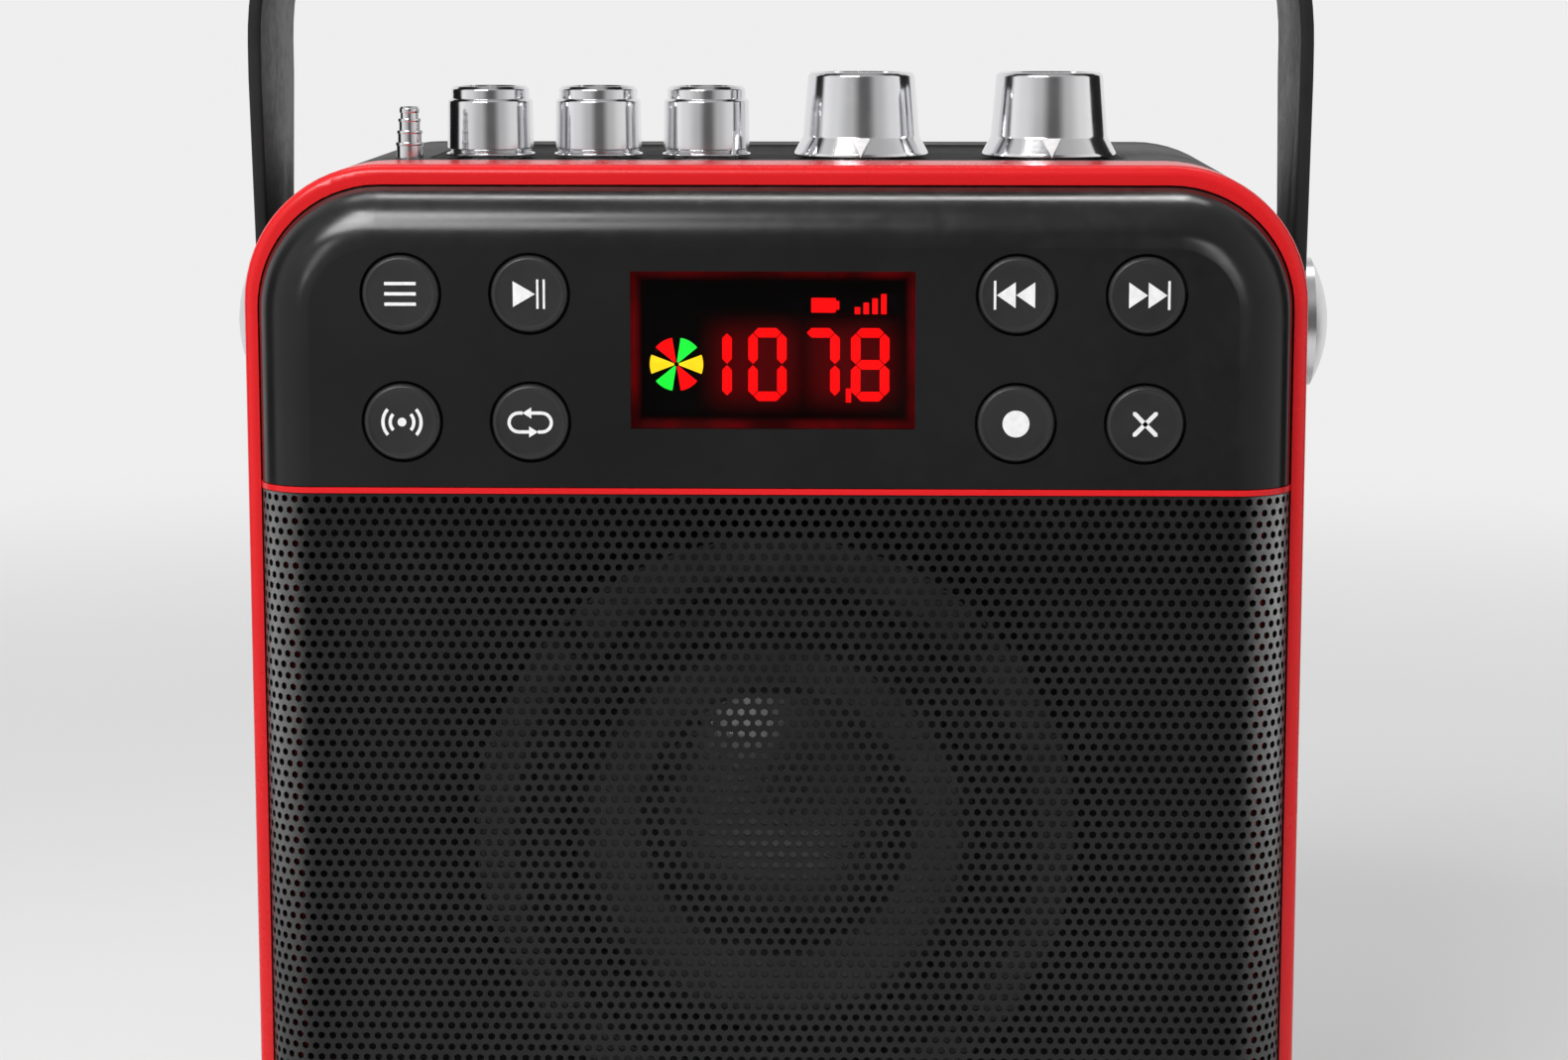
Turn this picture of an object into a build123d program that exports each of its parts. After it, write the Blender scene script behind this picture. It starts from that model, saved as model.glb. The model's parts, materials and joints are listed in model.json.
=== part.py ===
from build123d import *
import os

# Sizes in millimetres. X runs to the right, Y to the back, Z up from the table.

# Body
body_width = 184.0
body_depth = 115.0
body_top = 200.0
foot_height = 4.0
corner_radius = 24.0
shell_wall = 3.0
rear_edge_radius = 14.0
rear_cover_depth = 19.5

# Front: red frame, pillowed control panel and grille
button_proud = 0.6
face_bulge = 8.5
face_edge_radius = 10.0
rim_side = 2.5
rim_top = 3.4
rim_bead = 1.8
frame_depth = 16.0
ledge_width = 4.0
ledge_thickness = 3.0
seam = 0.15
panel_drop = 54.9
divider_thickness = 1.0
panel_wall = 2.2
grille_sheet = 1.0

# Perforation: wider than the real sheet's, with the same open share
hole_across = 6.2
hole_pitch = 12.0
hole_row_pitch = 11.6
hole_margin = 4.0
hexagon_sides = 6

# Push buttons and their board
button_radius = 6.55
button_gap = 0.5
button_flange = 1.05
button_flange_thickness = 1.2
button_edge = 0.5
button_travel = 0.8
button_rest_gap = 0.3
button_stem_radius = 1.75
button_pitch = 22.0
button_column = 41.5
button_row_drop = 21.5
switch_size = 6.2
switch_height = 3.6
switch_bore_depth = 2.2
switch_bore_gap = 0.25
board_thickness = 1.6
board_setback = 8.7
board_half_width = 77.0
board_margin = 6.0
board_corner = 8.0
boss_radius = 3.0
boss_inner_x = 29.0

# Display
display_width = 48.2
display_height = 26.6
display_drop = 31.1
display_gap = 0.2
display_recess = 0.2
display_flange = 1.8
display_flange_thickness = 1.0
module_margin = 0.8
module_gap = 0.2

# Loudspeaker and baffle
speaker_raise = 7.95
speaker_margin = 17.05
baffle_thickness = 4.0
baffle_gap = 0.3
pod_height = 11.6
pod_wall = 10.0
flange_seat = 8.5
flange_band = 6.6
flange_thickness = 2.0
speaker_screws = 4
basket_clearance = 0.7
basket_wall = 1.5
basket_depth = 32.0
basket_neck_radius = 30.0
basket_plate = 3.0
basket_window = 26.0
surround_roll = 4.2
surround_lip = 2.4
surround_sheet = 0.8
cone_sheet = 0.9
cone_depth = 18.0
coil_radius = 12.6
coil_wall = 0.5
coil_length = 22.0
coil_gap = 0.6
cap_margin = 9.2
cap_rise = 7.5
cap_sheet = 0.7
cap_cones = 4
glue_gap = 0.15
spider_sheet = 0.6
spider_ridge = 1.6
spider_ridges = 2
magnet_radius = 35.0
magnet_height = 13.0
back_plate_radius = 33.0
back_plate_height = 4.0
baffle_boss_radius = 3.3
baffle_boss_inset = 11.0
baffle_boss_length = 16.0
baffle_boss_rise = 23.0
baffle_boss_drop = 10.1

# Top plate, potentiometers and knobs
plate_half_width = 62.2
plate_front_gap = 3.4
plate_back_gap = 8.0
plate_corner = 5.0
plate_thickness = 1.4
plate_recess = 1.9
plate_gap = 0.3
knob_setback = 43.5
small_knob_first = -52.3
small_knob_pitch = 19.55
large_knob_first = 14.75
large_knob_pitch = 33.85
knob_float = 0.5
knob_wall = 1.6
shaft_radius = 3.0
shaft_flat = 1.0
shaft_fit = 0.05
knob_fit = 0.03
bushing_radius = 3.5
bushing_rise = 3.2
bushing_gap = 0.2
nut_across = 10.0
nut_height = 2.0
nut_gap = 0.4
pot_size = 14.0
pot_height = 7.5
shaft_foot = 2.0
small_radius = 7.8
small_flange = 8.0
small_flange_height = 0.6
small_height = 10.2
small_ring = 7.05
small_ring_height = 2.3
large_skirt = 12.1
large_skirt_height = 3.6
large_low = 10.5
large_high = 9.6
large_height = 15.0
pointer_length = 1.2
pointer_width = 3.0
knob_edge = 0.6

# Telescopic antenna
antenna_x = -65.6
antenna_setback = 32.5
antenna_radius = 2.35
antenna_wall = 0.2
antenna_fit = 0.05
antenna_length = 105.0
antenna_proud = 2.8
antenna_step = 2.1
antenna_hole_gap = 0.1
antenna_bracket = 4.0
antenna_bracket_gap = 0.3

# Handle and its pivots
pivot_drop = 31.1
strap_gap = 1.0
strap_thickness = 2.4
strap_width = 38.0
strap_end_radius = 13.0
strap_widening = 45.0
strap_rise = 84.0
strap_bend = 64.0
pad_radius = 12.0
pivot_side_gap = 0.3
bush_radius = 5.0
bush_fit = 0.05
stud_radius = 3.0
stud_fit = 0.02
stud_reach = 9.0
stud_boss = 7.0
stud_cap_radius = 11.8
stud_cap_edge = 2.0
stud_cap_rise = 3.2

# Screws and feet
screw_radius = 1.5
screw_pilot_gap = 0.02
screw_head_radius = 2.8
screw_head_height = 2.0
screw_length = 10.0
screw_hole_gap = 0.3
post_radius = 4.5
post_length = 26.0
web_thickness = 3.0
post_inset = 20.0
counterbore_floor = 4.0
foot_radius = 7.0
foot_recess = 1.2
foot_fit = 0.02
foot_inset_x = 24.0
foot_inset_y = 2.0

# Rear sockets, main board and battery
jack_plate_width = 104.0
jack_plate_height = 32.0
jack_plate_thickness = 1.5
jack_window_margin = 4.0
jack_window_corner = 4.0
jack_drop = 86.0
jack_hole_gap = 0.3
jack_end = 14.0
jack_proud = 1.0
main_board_clearance = 6.0
main_board_margin = 2.0
rail_width = 6.0
rail_height = 4.0
mic_body = 13.0
mic_depth = 24.0
mic_collar = 5.2
mic_bore = 3.25
mic_bore_depth = 22.0
aux_body = 8.0
aux_depth = 14.0
aux_collar = 3.0
aux_bore = 1.8
aux_bore_depth = 12.0
charge_body = 10.0
charge_depth = 14.0
charge_collar = 4.2
charge_bore = 3.0
charge_pin = 1.0
charge_bore_depth = 9.0
usb_width = 13.2
usb_height = 5.8
usb_depth = 14.0
usb_wall = 0.4
usb_tongue = 1.8
card_width = 14.0
card_height = 2.6
card_depth = 15.0
card_slot_width = 11.6
card_slot_height = 1.2
cell_radius = 9.3
cell_length = 68.0
tray_wall = 2.0
tray_gap = 0.3
tray_height = 12.0
tray_setback = 24.0

# Levels and depths that follow from the sizes above
half_width = body_width / 2
half_depth = body_depth / 2
shell_height = body_top - foot_height
shell_middle = foot_height + shell_height / 2
floor_level = foot_height + shell_wall
ceiling_level = body_top - shell_wall
face_y = -half_depth + button_proud
frame_front_y = face_y + face_bulge
frame_back_y = frame_front_y + frame_depth
ledge_y = frame_back_y - ledge_thickness
parting_y = half_depth - rear_cover_depth
rear_inner_y = half_depth - shell_wall
panel_inner_y = face_y + panel_wall
board_front_y = panel_inner_y + board_setback
board_back_y = board_front_y + board_thickness
divider_top = body_top - panel_drop
divider_low = divider_top - divider_thickness
speaker_space = divider_low - foot_height
speaker_level = foot_height + speaker_space / 2 + speaker_raise
flange_radius = speaker_space / 2 - speaker_margin
pod_radius = flange_radius - flange_seat
surround_outer = flange_radius - flange_band
baffle_back_y = frame_back_y + baffle_thickness
pod_front_y = frame_back_y - pod_height
flange_front_y = pod_front_y - flange_thickness
knob_y = -half_depth + knob_setback
antenna_y = -half_depth + antenna_setback
plate_front_y = frame_back_y + plate_front_gap
plate_depth = parting_y - plate_back_gap - plate_front_y
plate_top = body_top - plate_recess + plate_thickness
pivot_level = body_top - pivot_drop
strap_inner = half_width + strap_gap
strap_outer = strap_inner + strap_thickness
pad_face = strap_inner - pivot_side_gap
cap_face = strap_outer + pivot_side_gap
jack_level = body_top - jack_drop
plate_outer_y = rear_inner_y
plate_inner_y = rear_inner_y - jack_plate_thickness
tray_centre_y = parting_y - tray_setback
far = body_width + body_depth + body_top


# Drawing helpers


def front_slab(sketch, y_from, y_to):
    """A front view (X across, Z up) made solid between two depths."""
    return extrude(Plane.XZ.offset(-y_to) * sketch, amount=y_to - y_from)


def side_slab(sketch, x_from, x_to):
    """A side view (Y across, Z up) made solid between two widths."""
    return extrude(Plane.YZ.offset(x_from) * sketch, amount=x_to - x_from)


def level_slab(sketch, z_from, z_to):
    """A top view (X across, Y up the page) made solid between two heights."""
    return extrude(Plane.XY.offset(z_from) * sketch, amount=z_to - z_from)


def disc(u, v, radius):
    return Pos(u, v) * Circle(radius)


def block(u, v, width, height):
    return Pos(u, v) * Rectangle(width, height)


def turned(corners):
    """A solid of revolution about the Y axis, from corners given as (radius, Y)."""
    return revolve(make_face(Polyline(*corners, close=True)), Axis.Y)


def between_levels(solid, z_from, z_to):
    """The part of a solid that lies between two heights."""
    return solid & level_slab(Rectangle(far, far), z_from, z_to)


def body_outline(inset):
    shape = RectangleRounded(
        body_width - 2 * inset, shell_height - 2 * inset, corner_radius - inset
    )
    return Pos(0, shell_middle) * shape


def face_outline(inset):
    """The opening of the red frame, drawn in by an inset."""
    width = body_width - 2 * (rim_side + inset)
    height = shell_height - 2 * (rim_top + inset)
    return Pos(0, shell_middle) * RectangleRounded(width, height, corner_radius - rim_side - inset)


def pillow(inset, back_y):
    """The bulging front as one solid, with its rounded edge, drawn in by an inset."""
    solid = front_slab(face_outline(seam + inset), face_y + inset, back_y)
    front_edges = solid.faces().sort_by(Axis.Y)[0].edges()
    return fillet(front_edges, face_edge_radius - inset)


def screw(length):
    """A pan head screw that points along -Z, with its head's underside at the origin."""
    head = level_slab(Circle(screw_head_radius), 0, screw_head_height)
    return head + level_slab(Circle(screw_radius), -length, 0)


def screw_forward(x, y, z, length):
    """A screw driven in from the back, so that it points along -Y."""
    return Pos(x, y, z) * Rot(-90, 0, 0) * screw(length)


def screw_backward(x, y, z, length):
    """A screw driven in from the front, so that it points along +Y."""
    return Pos(x, y, z) * Rot(90, 0, 0) * screw(length)


# Places of what repeats

button_rows = [body_top - button_row_drop - row * button_pitch for row in range(2)]
button_columns = [
    -button_column - button_pitch,
    -button_column,
    button_column,
    button_column + button_pitch,
]
button_names = [
    ["mode_button", "play_button", "previous_button", "next_button"],
    ["radio_button", "repeat_button", "record_button", "delete_button"],
]
button_places = {
    name: (x, z)
    for names, z in zip(button_names, button_rows)
    for name, x in zip(names, button_columns)
}
row_middle = sum(button_rows) / 2
board_boss_columns = [button_column + button_pitch / 2, boss_inner_x]
board_bosses = [(side * x, row_middle) for side in (-1, 1) for x in board_boss_columns]

small_knobs = {
    name: small_knob_first + place * small_knob_pitch
    for place, name in enumerate(("left", "middle", "right"))
}
large_knobs = {
    name: large_knob_first + place * large_knob_pitch
    for place, name in enumerate(("left", "right"))
}
knob_columns = [*small_knobs.values(), *large_knobs.values()]

baffle_boss_x = half_width - baffle_boss_inset
baffle_boss_levels = [floor_level + baffle_boss_rise, divider_low - baffle_boss_drop]
baffle_bosses = [(side * baffle_boss_x, z) for side in (-1, 1) for z in baffle_boss_levels]

post_x = half_width - post_inset
post_levels = [foot_height + post_inset, shell_middle, body_top - post_inset]
rear_posts = [(side * post_x, z) for side in (-1, 1) for z in post_levels]

foot_x = half_width - foot_inset_x
foot_rows = [
    frame_back_y + foot_inset_y + foot_radius,
    parting_y - foot_inset_y - foot_radius,
]
feet = [(x, y) for x in (-foot_x, foot_x) for y in foot_rows]

antenna_sections = ("lower", "middle", "tip")

jack_names = ("mic", "aux", "usb", "card", "charge")
jack_span = jack_plate_width - 2 * jack_end
jack_columns = {
    name: jack_span * (place / (len(jack_names) - 1) - 1 / 2) for place, name in enumerate(jack_names)
}
speaker_screw_circle = (flange_radius + surround_outer) / 2


# Front


def trim_frame():
    ring = front_slab(body_outline(0) - face_outline(0), frame_front_y, frame_back_y)
    front = ring.faces().sort_by(Axis.Y)[0]
    ring = fillet(front.outer_wire().edges(), rim_bead)
    ledge = front_slab(face_outline(0) - face_outline(ledge_width), ledge_y, frame_back_y)
    bar = between_levels(pillow(-seam, frame_back_y), divider_low, divider_top)
    return ring + ledge + bar


def front_panel():
    low = divider_top + seam
    shell = between_levels(pillow(0, ledge_y), low, body_top)
    shell -= between_levels(pillow(panel_wall, frame_back_y), low + panel_wall, body_top)
    for x, z in button_places.values():
        shell -= front_slab(disc(x, z, button_radius + button_gap), face_y, panel_inner_y)
    window = block(
        0,
        body_top - display_drop,
        display_width + 2 * display_gap,
        display_height + 2 * display_gap,
    )
    shell -= front_slab(window, face_y, panel_inner_y)
    for x, z in board_bosses:
        shell += front_slab(disc(x, z, boss_radius), panel_inner_y, board_front_y)
        pilot = disc(x, z, screw_radius + screw_pilot_gap)
        shell -= front_slab(pilot, board_front_y - board_setback, board_front_y)
    return shell


def speaker_grille():
    high = divider_low - seam
    shell = between_levels(pillow(0, ledge_y), foot_height, high)
    inside = between_levels(pillow(grille_sheet, frame_back_y), foot_height, high - grille_sheet)
    shell -= inside
    reach_x = half_width - rim_side - face_edge_radius - hole_margin
    low = foot_height + rim_top + face_edge_radius + hole_margin
    rows = int((high - hole_margin - low) / hole_row_pitch) + 1
    columns = int(2 * reach_x / hole_pitch)
    holes = Sketch()
    for row in range(rows):
        side = 1 if row % 2 else -1
        first = (side * hole_pitch / 2 - (columns - 1) * hole_pitch) / 2
        for column in range(columns):
            place = Pos(first + column * hole_pitch, low + row * hole_row_pitch)
            holes += place * RegularPolygon(hole_across / 2, hexagon_sides)
    return shell - front_slab(holes, face_y, face_y + grille_sheet)


def push_button(x, z):
    """Cap, retaining flange behind the panel, and the stem that reaches into its switch."""
    cap_back = panel_inner_y + button_rest_gap
    flange_back = cap_back + button_flange_thickness
    bore_floor = board_front_y - switch_height + switch_bore_depth
    cap = front_slab(disc(x, z, button_radius), -half_depth, cap_back)
    cap = chamfer(cap.faces().sort_by(Axis.Y)[0].edges(), button_edge)
    rim = disc(x, z, button_radius + button_gap + button_flange)
    flange = front_slab(rim, cap_back, flange_back)
    stem_end = bore_floor - button_rest_gap - button_travel
    return cap + flange + front_slab(disc(x, z, button_stem_radius), flange_back, stem_end)


def key_switches():
    bodies = []
    front = board_front_y - switch_height
    for x, z in button_places.values():
        body = front_slab(block(x, z, switch_size, switch_size), front, board_front_y)
        bore = disc(x, z, button_stem_radius + switch_bore_gap)
        bodies.append(body - front_slab(bore, front, front + switch_bore_depth))
    return Compound(bodies)


def control_board():
    low = divider_top + panel_wall + board_margin
    high = body_top - rim_top - panel_wall - board_margin
    shape = RectangleRounded(2 * board_half_width, high - low, board_corner)
    board = front_slab(Pos(0, (low + high) / 2) * shape, board_front_y, board_back_y)
    for x, z in board_bosses:
        hole = disc(x, z, screw_radius + screw_hole_gap)
        board -= front_slab(hole, board_front_y, board_back_y)
    return board


def display_lens():
    middle = body_top - display_drop
    flange_y = panel_inner_y + display_flange_thickness
    pane = block(0, middle, display_width, display_height)
    rim = block(
        0, middle, display_width + 2 * display_flange, display_height + 2 * display_flange
    )
    lens = front_slab(pane, face_y + display_recess, panel_inner_y)
    return lens + front_slab(rim, panel_inner_y, flange_y)


def display_module():
    front = panel_inner_y + display_flange_thickness + module_gap
    face = block(
        0,
        body_top - display_drop,
        display_width + 2 * module_margin,
        display_height + 2 * module_margin,
    )
    return front_slab(face, front, board_front_y)


# Loudspeaker


def baffle():
    plate = front_slab(body_outline(shell_wall + baffle_gap), frame_back_y, baffle_back_y)
    pod = disc(0, speaker_level, pod_radius + pod_wall)
    plate += front_slab(pod, pod_front_y, frame_back_y)
    plate -= front_slab(disc(0, speaker_level, pod_radius), pod_front_y, baffle_back_y)
    for x, z in baffle_bosses:
        hole = disc(x, z, screw_radius + screw_hole_gap)
        plate -= front_slab(hole, frame_back_y, baffle_back_y)
    for x, z in speaker_screw_places():
        hole = disc(x, z, screw_radius + screw_pilot_gap)
        plate -= front_slab(hole, pod_front_y, pod_front_y + screw_length)
    return plate


def speaker_screw_places():
    ring = PolarLocations(speaker_screw_circle, speaker_screws, start_angle=180 / speaker_screws)
    return [(place.position.X, speaker_level + place.position.Y) for place in ring]


def speaker_part(solid):
    """Brings a part that is turned about the Y axis to the loudspeaker's centre."""
    return Pos(0, 0, speaker_level) * solid


basket_back_y = pod_front_y + basket_depth
basket_plate_y = basket_back_y - basket_plate
basket_top = pod_radius - basket_clearance
gap_inner = coil_radius - coil_wall - coil_gap
gap_outer = coil_radius + coil_gap
roll_centre = surround_outer - surround_lip - surround_roll
surround_inner = roll_centre - surround_roll - surround_lip
cap_radius = surround_inner - cap_margin
cone_back_y = flange_front_y + cone_depth
magnet_back_y = basket_back_y + magnet_height


def speaker_basket():
    skirt = turned(
        [
            (flange_radius, flange_front_y),
            (flange_radius, pod_front_y),
            (basket_top, pod_front_y),
            (basket_neck_radius, basket_plate_y),
            (basket_neck_radius, basket_back_y),
            (gap_outer, basket_back_y),
            (gap_outer, basket_plate_y),
            (basket_neck_radius - basket_wall, basket_plate_y),
            (basket_top - basket_wall, pod_front_y),
            (basket_top - basket_wall, flange_front_y),
        ]
    )
    window = front_slab(
        Rectangle(basket_window, far), pod_front_y + basket_plate, basket_plate_y - basket_plate
    )
    skirt -= window
    skirt -= Rot(0, 90, 0) * window
    for x, z in speaker_screw_places():
        hole = disc(x, z - speaker_level, screw_radius + screw_hole_gap)
        skirt -= front_slab(hole, flange_front_y, pod_front_y)
    return speaker_part(skirt)


def speaker_surround():
    """A half roll, in flat cones, between two flat lips."""
    lip_y = flange_front_y - surround_sheet
    bend = surround_roll / 2
    outer = [
        (surround_outer, lip_y),
        (roll_centre + surround_roll, lip_y),
        (roll_centre + bend, lip_y - surround_roll),
        (roll_centre - bend, lip_y - surround_roll),
        (roll_centre - surround_roll, lip_y),
        (surround_inner, lip_y),
    ]
    inner = [(radius, y + surround_sheet) for radius, y in reversed(outer)]
    return speaker_part(turned(outer + inner))


def speaker_cone():
    lip = surround_inner + surround_lip
    neck = coil_radius + glue_gap
    return speaker_part(
        turned(
            [
                (lip, flange_front_y),
                (lip, flange_front_y + cone_sheet),
                (surround_inner, flange_front_y + cone_sheet),
                (neck, cone_back_y + cone_sheet),
                (neck, cone_back_y),
                (surround_inner, flange_front_y),
            ]
        )
    )


def cone_depth_at(radius):
    """How far behind its lip the cone's face lies at a radius."""
    neck = coil_radius + glue_gap
    return cone_depth * (surround_inner - radius) / (surround_inner - neck)


def speaker_dust_cap():
    """A dome in flat cones, glued to the cone's face by its rim."""
    seat_y = flange_front_y + cone_depth_at(cap_radius) - glue_gap
    shares = [step / cap_cones for step in range(cap_cones + 1)]
    back = [(cap_radius * share, seat_y - cap_rise * (1 - share**2)) for share in shares]
    front = [(radius, y - cap_sheet) for radius, y in reversed(back)]
    return speaker_part(turned(back + front))


def speaker_voice_coil():
    tube = Circle(coil_radius) - Circle(coil_radius - coil_wall)
    return speaker_part(front_slab(tube, cone_back_y, cone_back_y + coil_length))


def speaker_spider():
    """The corrugated disc that centres the coil in the basket."""
    seat_y = basket_plate_y - basket_plate
    inner = coil_radius + glue_gap
    outer = basket_neck_radius - basket_wall - glue_gap
    step = (outer - inner) / (2 * spider_ridges)
    folds = range(2 * spider_ridges + 1)
    front = [(inner + n * step, seat_y - (n % 2) * spider_ridge) for n in folds]
    back = [(radius, y + spider_sheet) for radius, y in reversed(front)]
    return speaker_part(turned(front + back))


def speaker_magnet():
    ring = Circle(magnet_radius) - Circle(gap_outer + coil_gap)
    return speaker_part(front_slab(ring, basket_back_y, magnet_back_y))


def speaker_back_plate():
    """Rear plate with the pole that stands inside the coil."""
    plate = front_slab(
        Circle(back_plate_radius), magnet_back_y, magnet_back_y + back_plate_height
    )
    return speaker_part(plate + front_slab(Circle(gap_inner), basket_plate_y, magnet_back_y))


# Cabinet


def webbed_post(x, z, radius):
    """A round post and the web that joins it to the side wall."""
    side = 1 if x > 0 else -1
    wall_x = side * (half_width - shell_wall / 2)
    web = block((x + wall_x) / 2, z, abs(wall_x - x), web_thickness)
    return disc(x, z, radius) + web


def cabinet():
    shell = front_slab(body_outline(0) - body_outline(shell_wall), frame_back_y, parting_y)
    posts = Sketch()
    for x, z in rear_posts:
        posts += webbed_post(x, z, post_radius)
    posts &= body_outline(shell_wall / 2)
    shell += front_slab(posts, parting_y - post_length, parting_y)
    bosses = Sketch()
    for x, z in baffle_bosses:
        bosses += webbed_post(x, z, baffle_boss_radius)
    shell += front_slab(bosses, baffle_back_y, baffle_back_y + baffle_boss_length)
    for side in (-1, 1):
        shell += pivot_seat(side)
        shell -= pivot_bore(side)
    bracket_low = antenna_foot() + antenna_bracket
    bracket = antenna_bracket_outline()
    shell += level_slab(bracket, bracket_low, bracket_low + antenna_bracket)
    hole = disc(antenna_x, antenna_y, antenna_radius + antenna_hole_gap)
    shell -= level_slab(hole, antenna_foot(), body_top)
    shell -= level_slab(plate_outline(0), body_top - plate_recess, body_top)
    for x in knob_columns:
        hole = disc(x, knob_y, bushing_radius + bushing_gap)
        shell -= level_slab(hole, ceiling_level, body_top)
    for x, y in feet:
        recess = disc(x, y, foot_radius + foot_fit)
        shell -= level_slab(recess, foot_height, foot_height + foot_recess)
    for x, z in baffle_bosses:
        pilot = disc(x, z, screw_radius + screw_pilot_gap)
        shell -= front_slab(pilot, baffle_back_y, baffle_back_y + screw_length)
    for x, z in rear_posts:
        pilot = disc(x, z, screw_radius + screw_pilot_gap)
        shell -= front_slab(pilot, parting_y - screw_length, parting_y)
    return shell


def antenna_bracket_outline():
    """A shelf on the left wall that steadies the foot of the antenna's base tube."""
    wall_x = -half_width + shell_wall / 2
    free_x = antenna_x + antenna_radius + antenna_bracket
    front = baffle_back_y + antenna_bracket_gap
    back = antenna_y + antenna_radius + antenna_bracket
    return block((wall_x + free_x) / 2, (front + back) / 2, free_x - wall_x, back - front)


def pivot_seat(side):
    """Raised pad outside the wall and a boss inside it, for the handle's stud."""
    inner = half_width - shell_wall - stud_reach
    pad = side_slab(disc(0, pivot_level, pad_radius), half_width - shell_wall / 2, pad_face)
    boss = side_slab(disc(0, pivot_level, stud_boss), inner, half_width - shell_wall / 2)
    return mirrored(pad + boss, side)


def pivot_bore(side):
    bore = disc(0, pivot_level, stud_radius + stud_fit)
    return mirrored(side_slab(bore, half_width - shell_wall - stud_reach, pad_face), side)


def mirrored(solid, side):
    """The solid as drawn on the right, or its twin on the left."""
    return solid if side > 0 else mirror(solid, Plane.YZ)


def rear_cover():
    outer = front_slab(body_outline(0), parting_y, half_depth)
    outer = fillet(outer.faces().sort_by(Axis.Y)[-1].edges(), rear_edge_radius)
    inner = front_slab(body_outline(shell_wall), parting_y, rear_inner_y)
    inner = fillet(inner.faces().sort_by(Axis.Y)[-1].edges(), rear_edge_radius - shell_wall)
    cover = outer - inner
    for x, z in rear_posts:
        cover += front_slab(disc(x, z, post_radius), parting_y, rear_inner_y) & outer
        seat_y = parting_y + counterbore_floor
        well = disc(x, z, screw_head_radius + screw_hole_gap)
        cover -= front_slab(well, seat_y, half_depth)
        hole = disc(x, z, screw_radius + screw_hole_gap)
        cover -= front_slab(hole, parting_y, seat_y)
    window = RectangleRounded(
        jack_plate_width - 2 * jack_window_margin,
        jack_plate_height - 2 * jack_window_margin,
        jack_window_corner,
    )
    cover -= front_slab(Pos(0, jack_level) * window, rear_inner_y, half_depth)
    for side in (-1, 1):
        x = side * (jack_plate_width / 2 + jack_hole_gap + rail_width / 2)
        rail = block(x, main_board_low() - rail_height / 2, rail_width, rail_height)
        cover += front_slab(rail, main_board_front(), rear_inner_y)
    return cover


def plate_outline(gap):
    shape = RectangleRounded(
        2 * (plate_half_width - gap), plate_depth - 2 * gap, plate_corner - gap
    )
    return Pos(0, plate_front_y + plate_depth / 2) * shape


def top_plate():
    plate = level_slab(plate_outline(plate_gap), body_top - plate_recess, plate_top)
    for x in knob_columns:
        hole = disc(x, knob_y, bushing_radius + bushing_gap)
        plate -= level_slab(hole, body_top - plate_recess, plate_top)
    return plate


def rubber_feet():
    return Compound(
        [level_slab(disc(x, y, foot_radius), 0, foot_height + foot_recess) for x, y in feet]
    )


# Knobs and potentiometers

bushing_top = plate_top + bushing_rise
nut_top = plate_top + nut_height
knob_low = plate_top + knob_float
pot_low = ceiling_level - pot_height
shaft_low = ceiling_level - pot_height + shaft_foot


def potentiometers():
    bodies = []
    for x in knob_columns:
        body = level_slab(block(x, knob_y, pot_size, pot_size), pot_low, ceiling_level)
        body += level_slab(disc(x, knob_y, bushing_radius), ceiling_level, bushing_top)
        bore = disc(x, knob_y, shaft_radius + shaft_fit)
        bodies.append(body - level_slab(bore, shaft_low - shaft_foot / 2, bushing_top))
    return Compound(bodies)


def pot_nuts():
    nut = RegularPolygon(nut_across / 2, hexagon_sides, major_radius=False)
    nut -= Circle(bushing_radius + screw_pilot_gap)
    return Compound(
        [level_slab(Pos(x, knob_y) * nut, plate_top, nut_top) for x in knob_columns]
    )


def pot_board():
    margin = shaft_radius
    left = min(knob_columns) - pot_size / 2
    right = max(knob_columns) + pot_size / 2
    shape = block((left + right) / 2, knob_y, right - left + 2 * margin, pot_size + 2 * margin)
    return level_slab(shape, pot_low - board_thickness, pot_low)


def shaft_section(radius):
    """A round section with one flat side, at the front."""
    flat = block(0, -radius, 2 * radius, 2 * shaft_flat)
    return Circle(radius) - flat


def pot_shaft(x, knob_height):
    top = knob_low + knob_height - knob_wall - knob_float
    shaft = level_slab(Circle(shaft_radius), shaft_low, bushing_top)
    shaft += level_slab(shaft_section(shaft_radius), bushing_top, top)
    return Pos(x, knob_y) * shaft


def knob_hollow(height):
    """What is cut from a knob: the well over the nut, and the bore for its shaft."""
    well = nut_across / 3**0.5 + nut_gap
    well_top = max(bushing_top, nut_top) - knob_low + knob_float
    bore = level_slab(shaft_section(shaft_radius + knob_fit), well_top, height - knob_wall)
    return level_slab(Circle(well), 0, well_top) + bore


def small_knob(x):
    knob = level_slab(Circle(small_flange), 0, small_flange_height)
    knob += level_slab(Circle(small_radius), small_flange_height, small_height)
    top = small_height + small_ring_height
    ring = level_slab(Circle(small_ring), small_height, top)
    knob += chamfer(ring.faces().sort_by(Axis.Z)[-1].edges(), knob_edge)
    return Pos(x, knob_y, knob_low) * (knob - knob_hollow(top))


def large_knob(x):
    profile = Polyline(
        (0, 0),
        (large_skirt, 0),
        (large_skirt, knob_edge),
        (large_low, large_skirt_height),
        (large_high, large_height - knob_edge),
        (large_high - knob_edge, large_height),
        (0, large_height),
        close=True,
    )
    knob = revolve(make_face(Plane.XZ * profile), Axis.Z)
    nib = make_face(
        Polyline(
            (-pointer_width / 2, -large_low),
            (pointer_width / 2, -large_low),
            (0, -large_skirt - pointer_length),
            close=True,
        )
    )
    knob += level_slab(nib, 0, knob_edge)
    return Pos(x, knob_y, knob_low) * (knob - knob_hollow(large_height))


# Telescopic antenna


def antenna_foot():
    return body_top + antenna_proud - antenna_length


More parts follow.
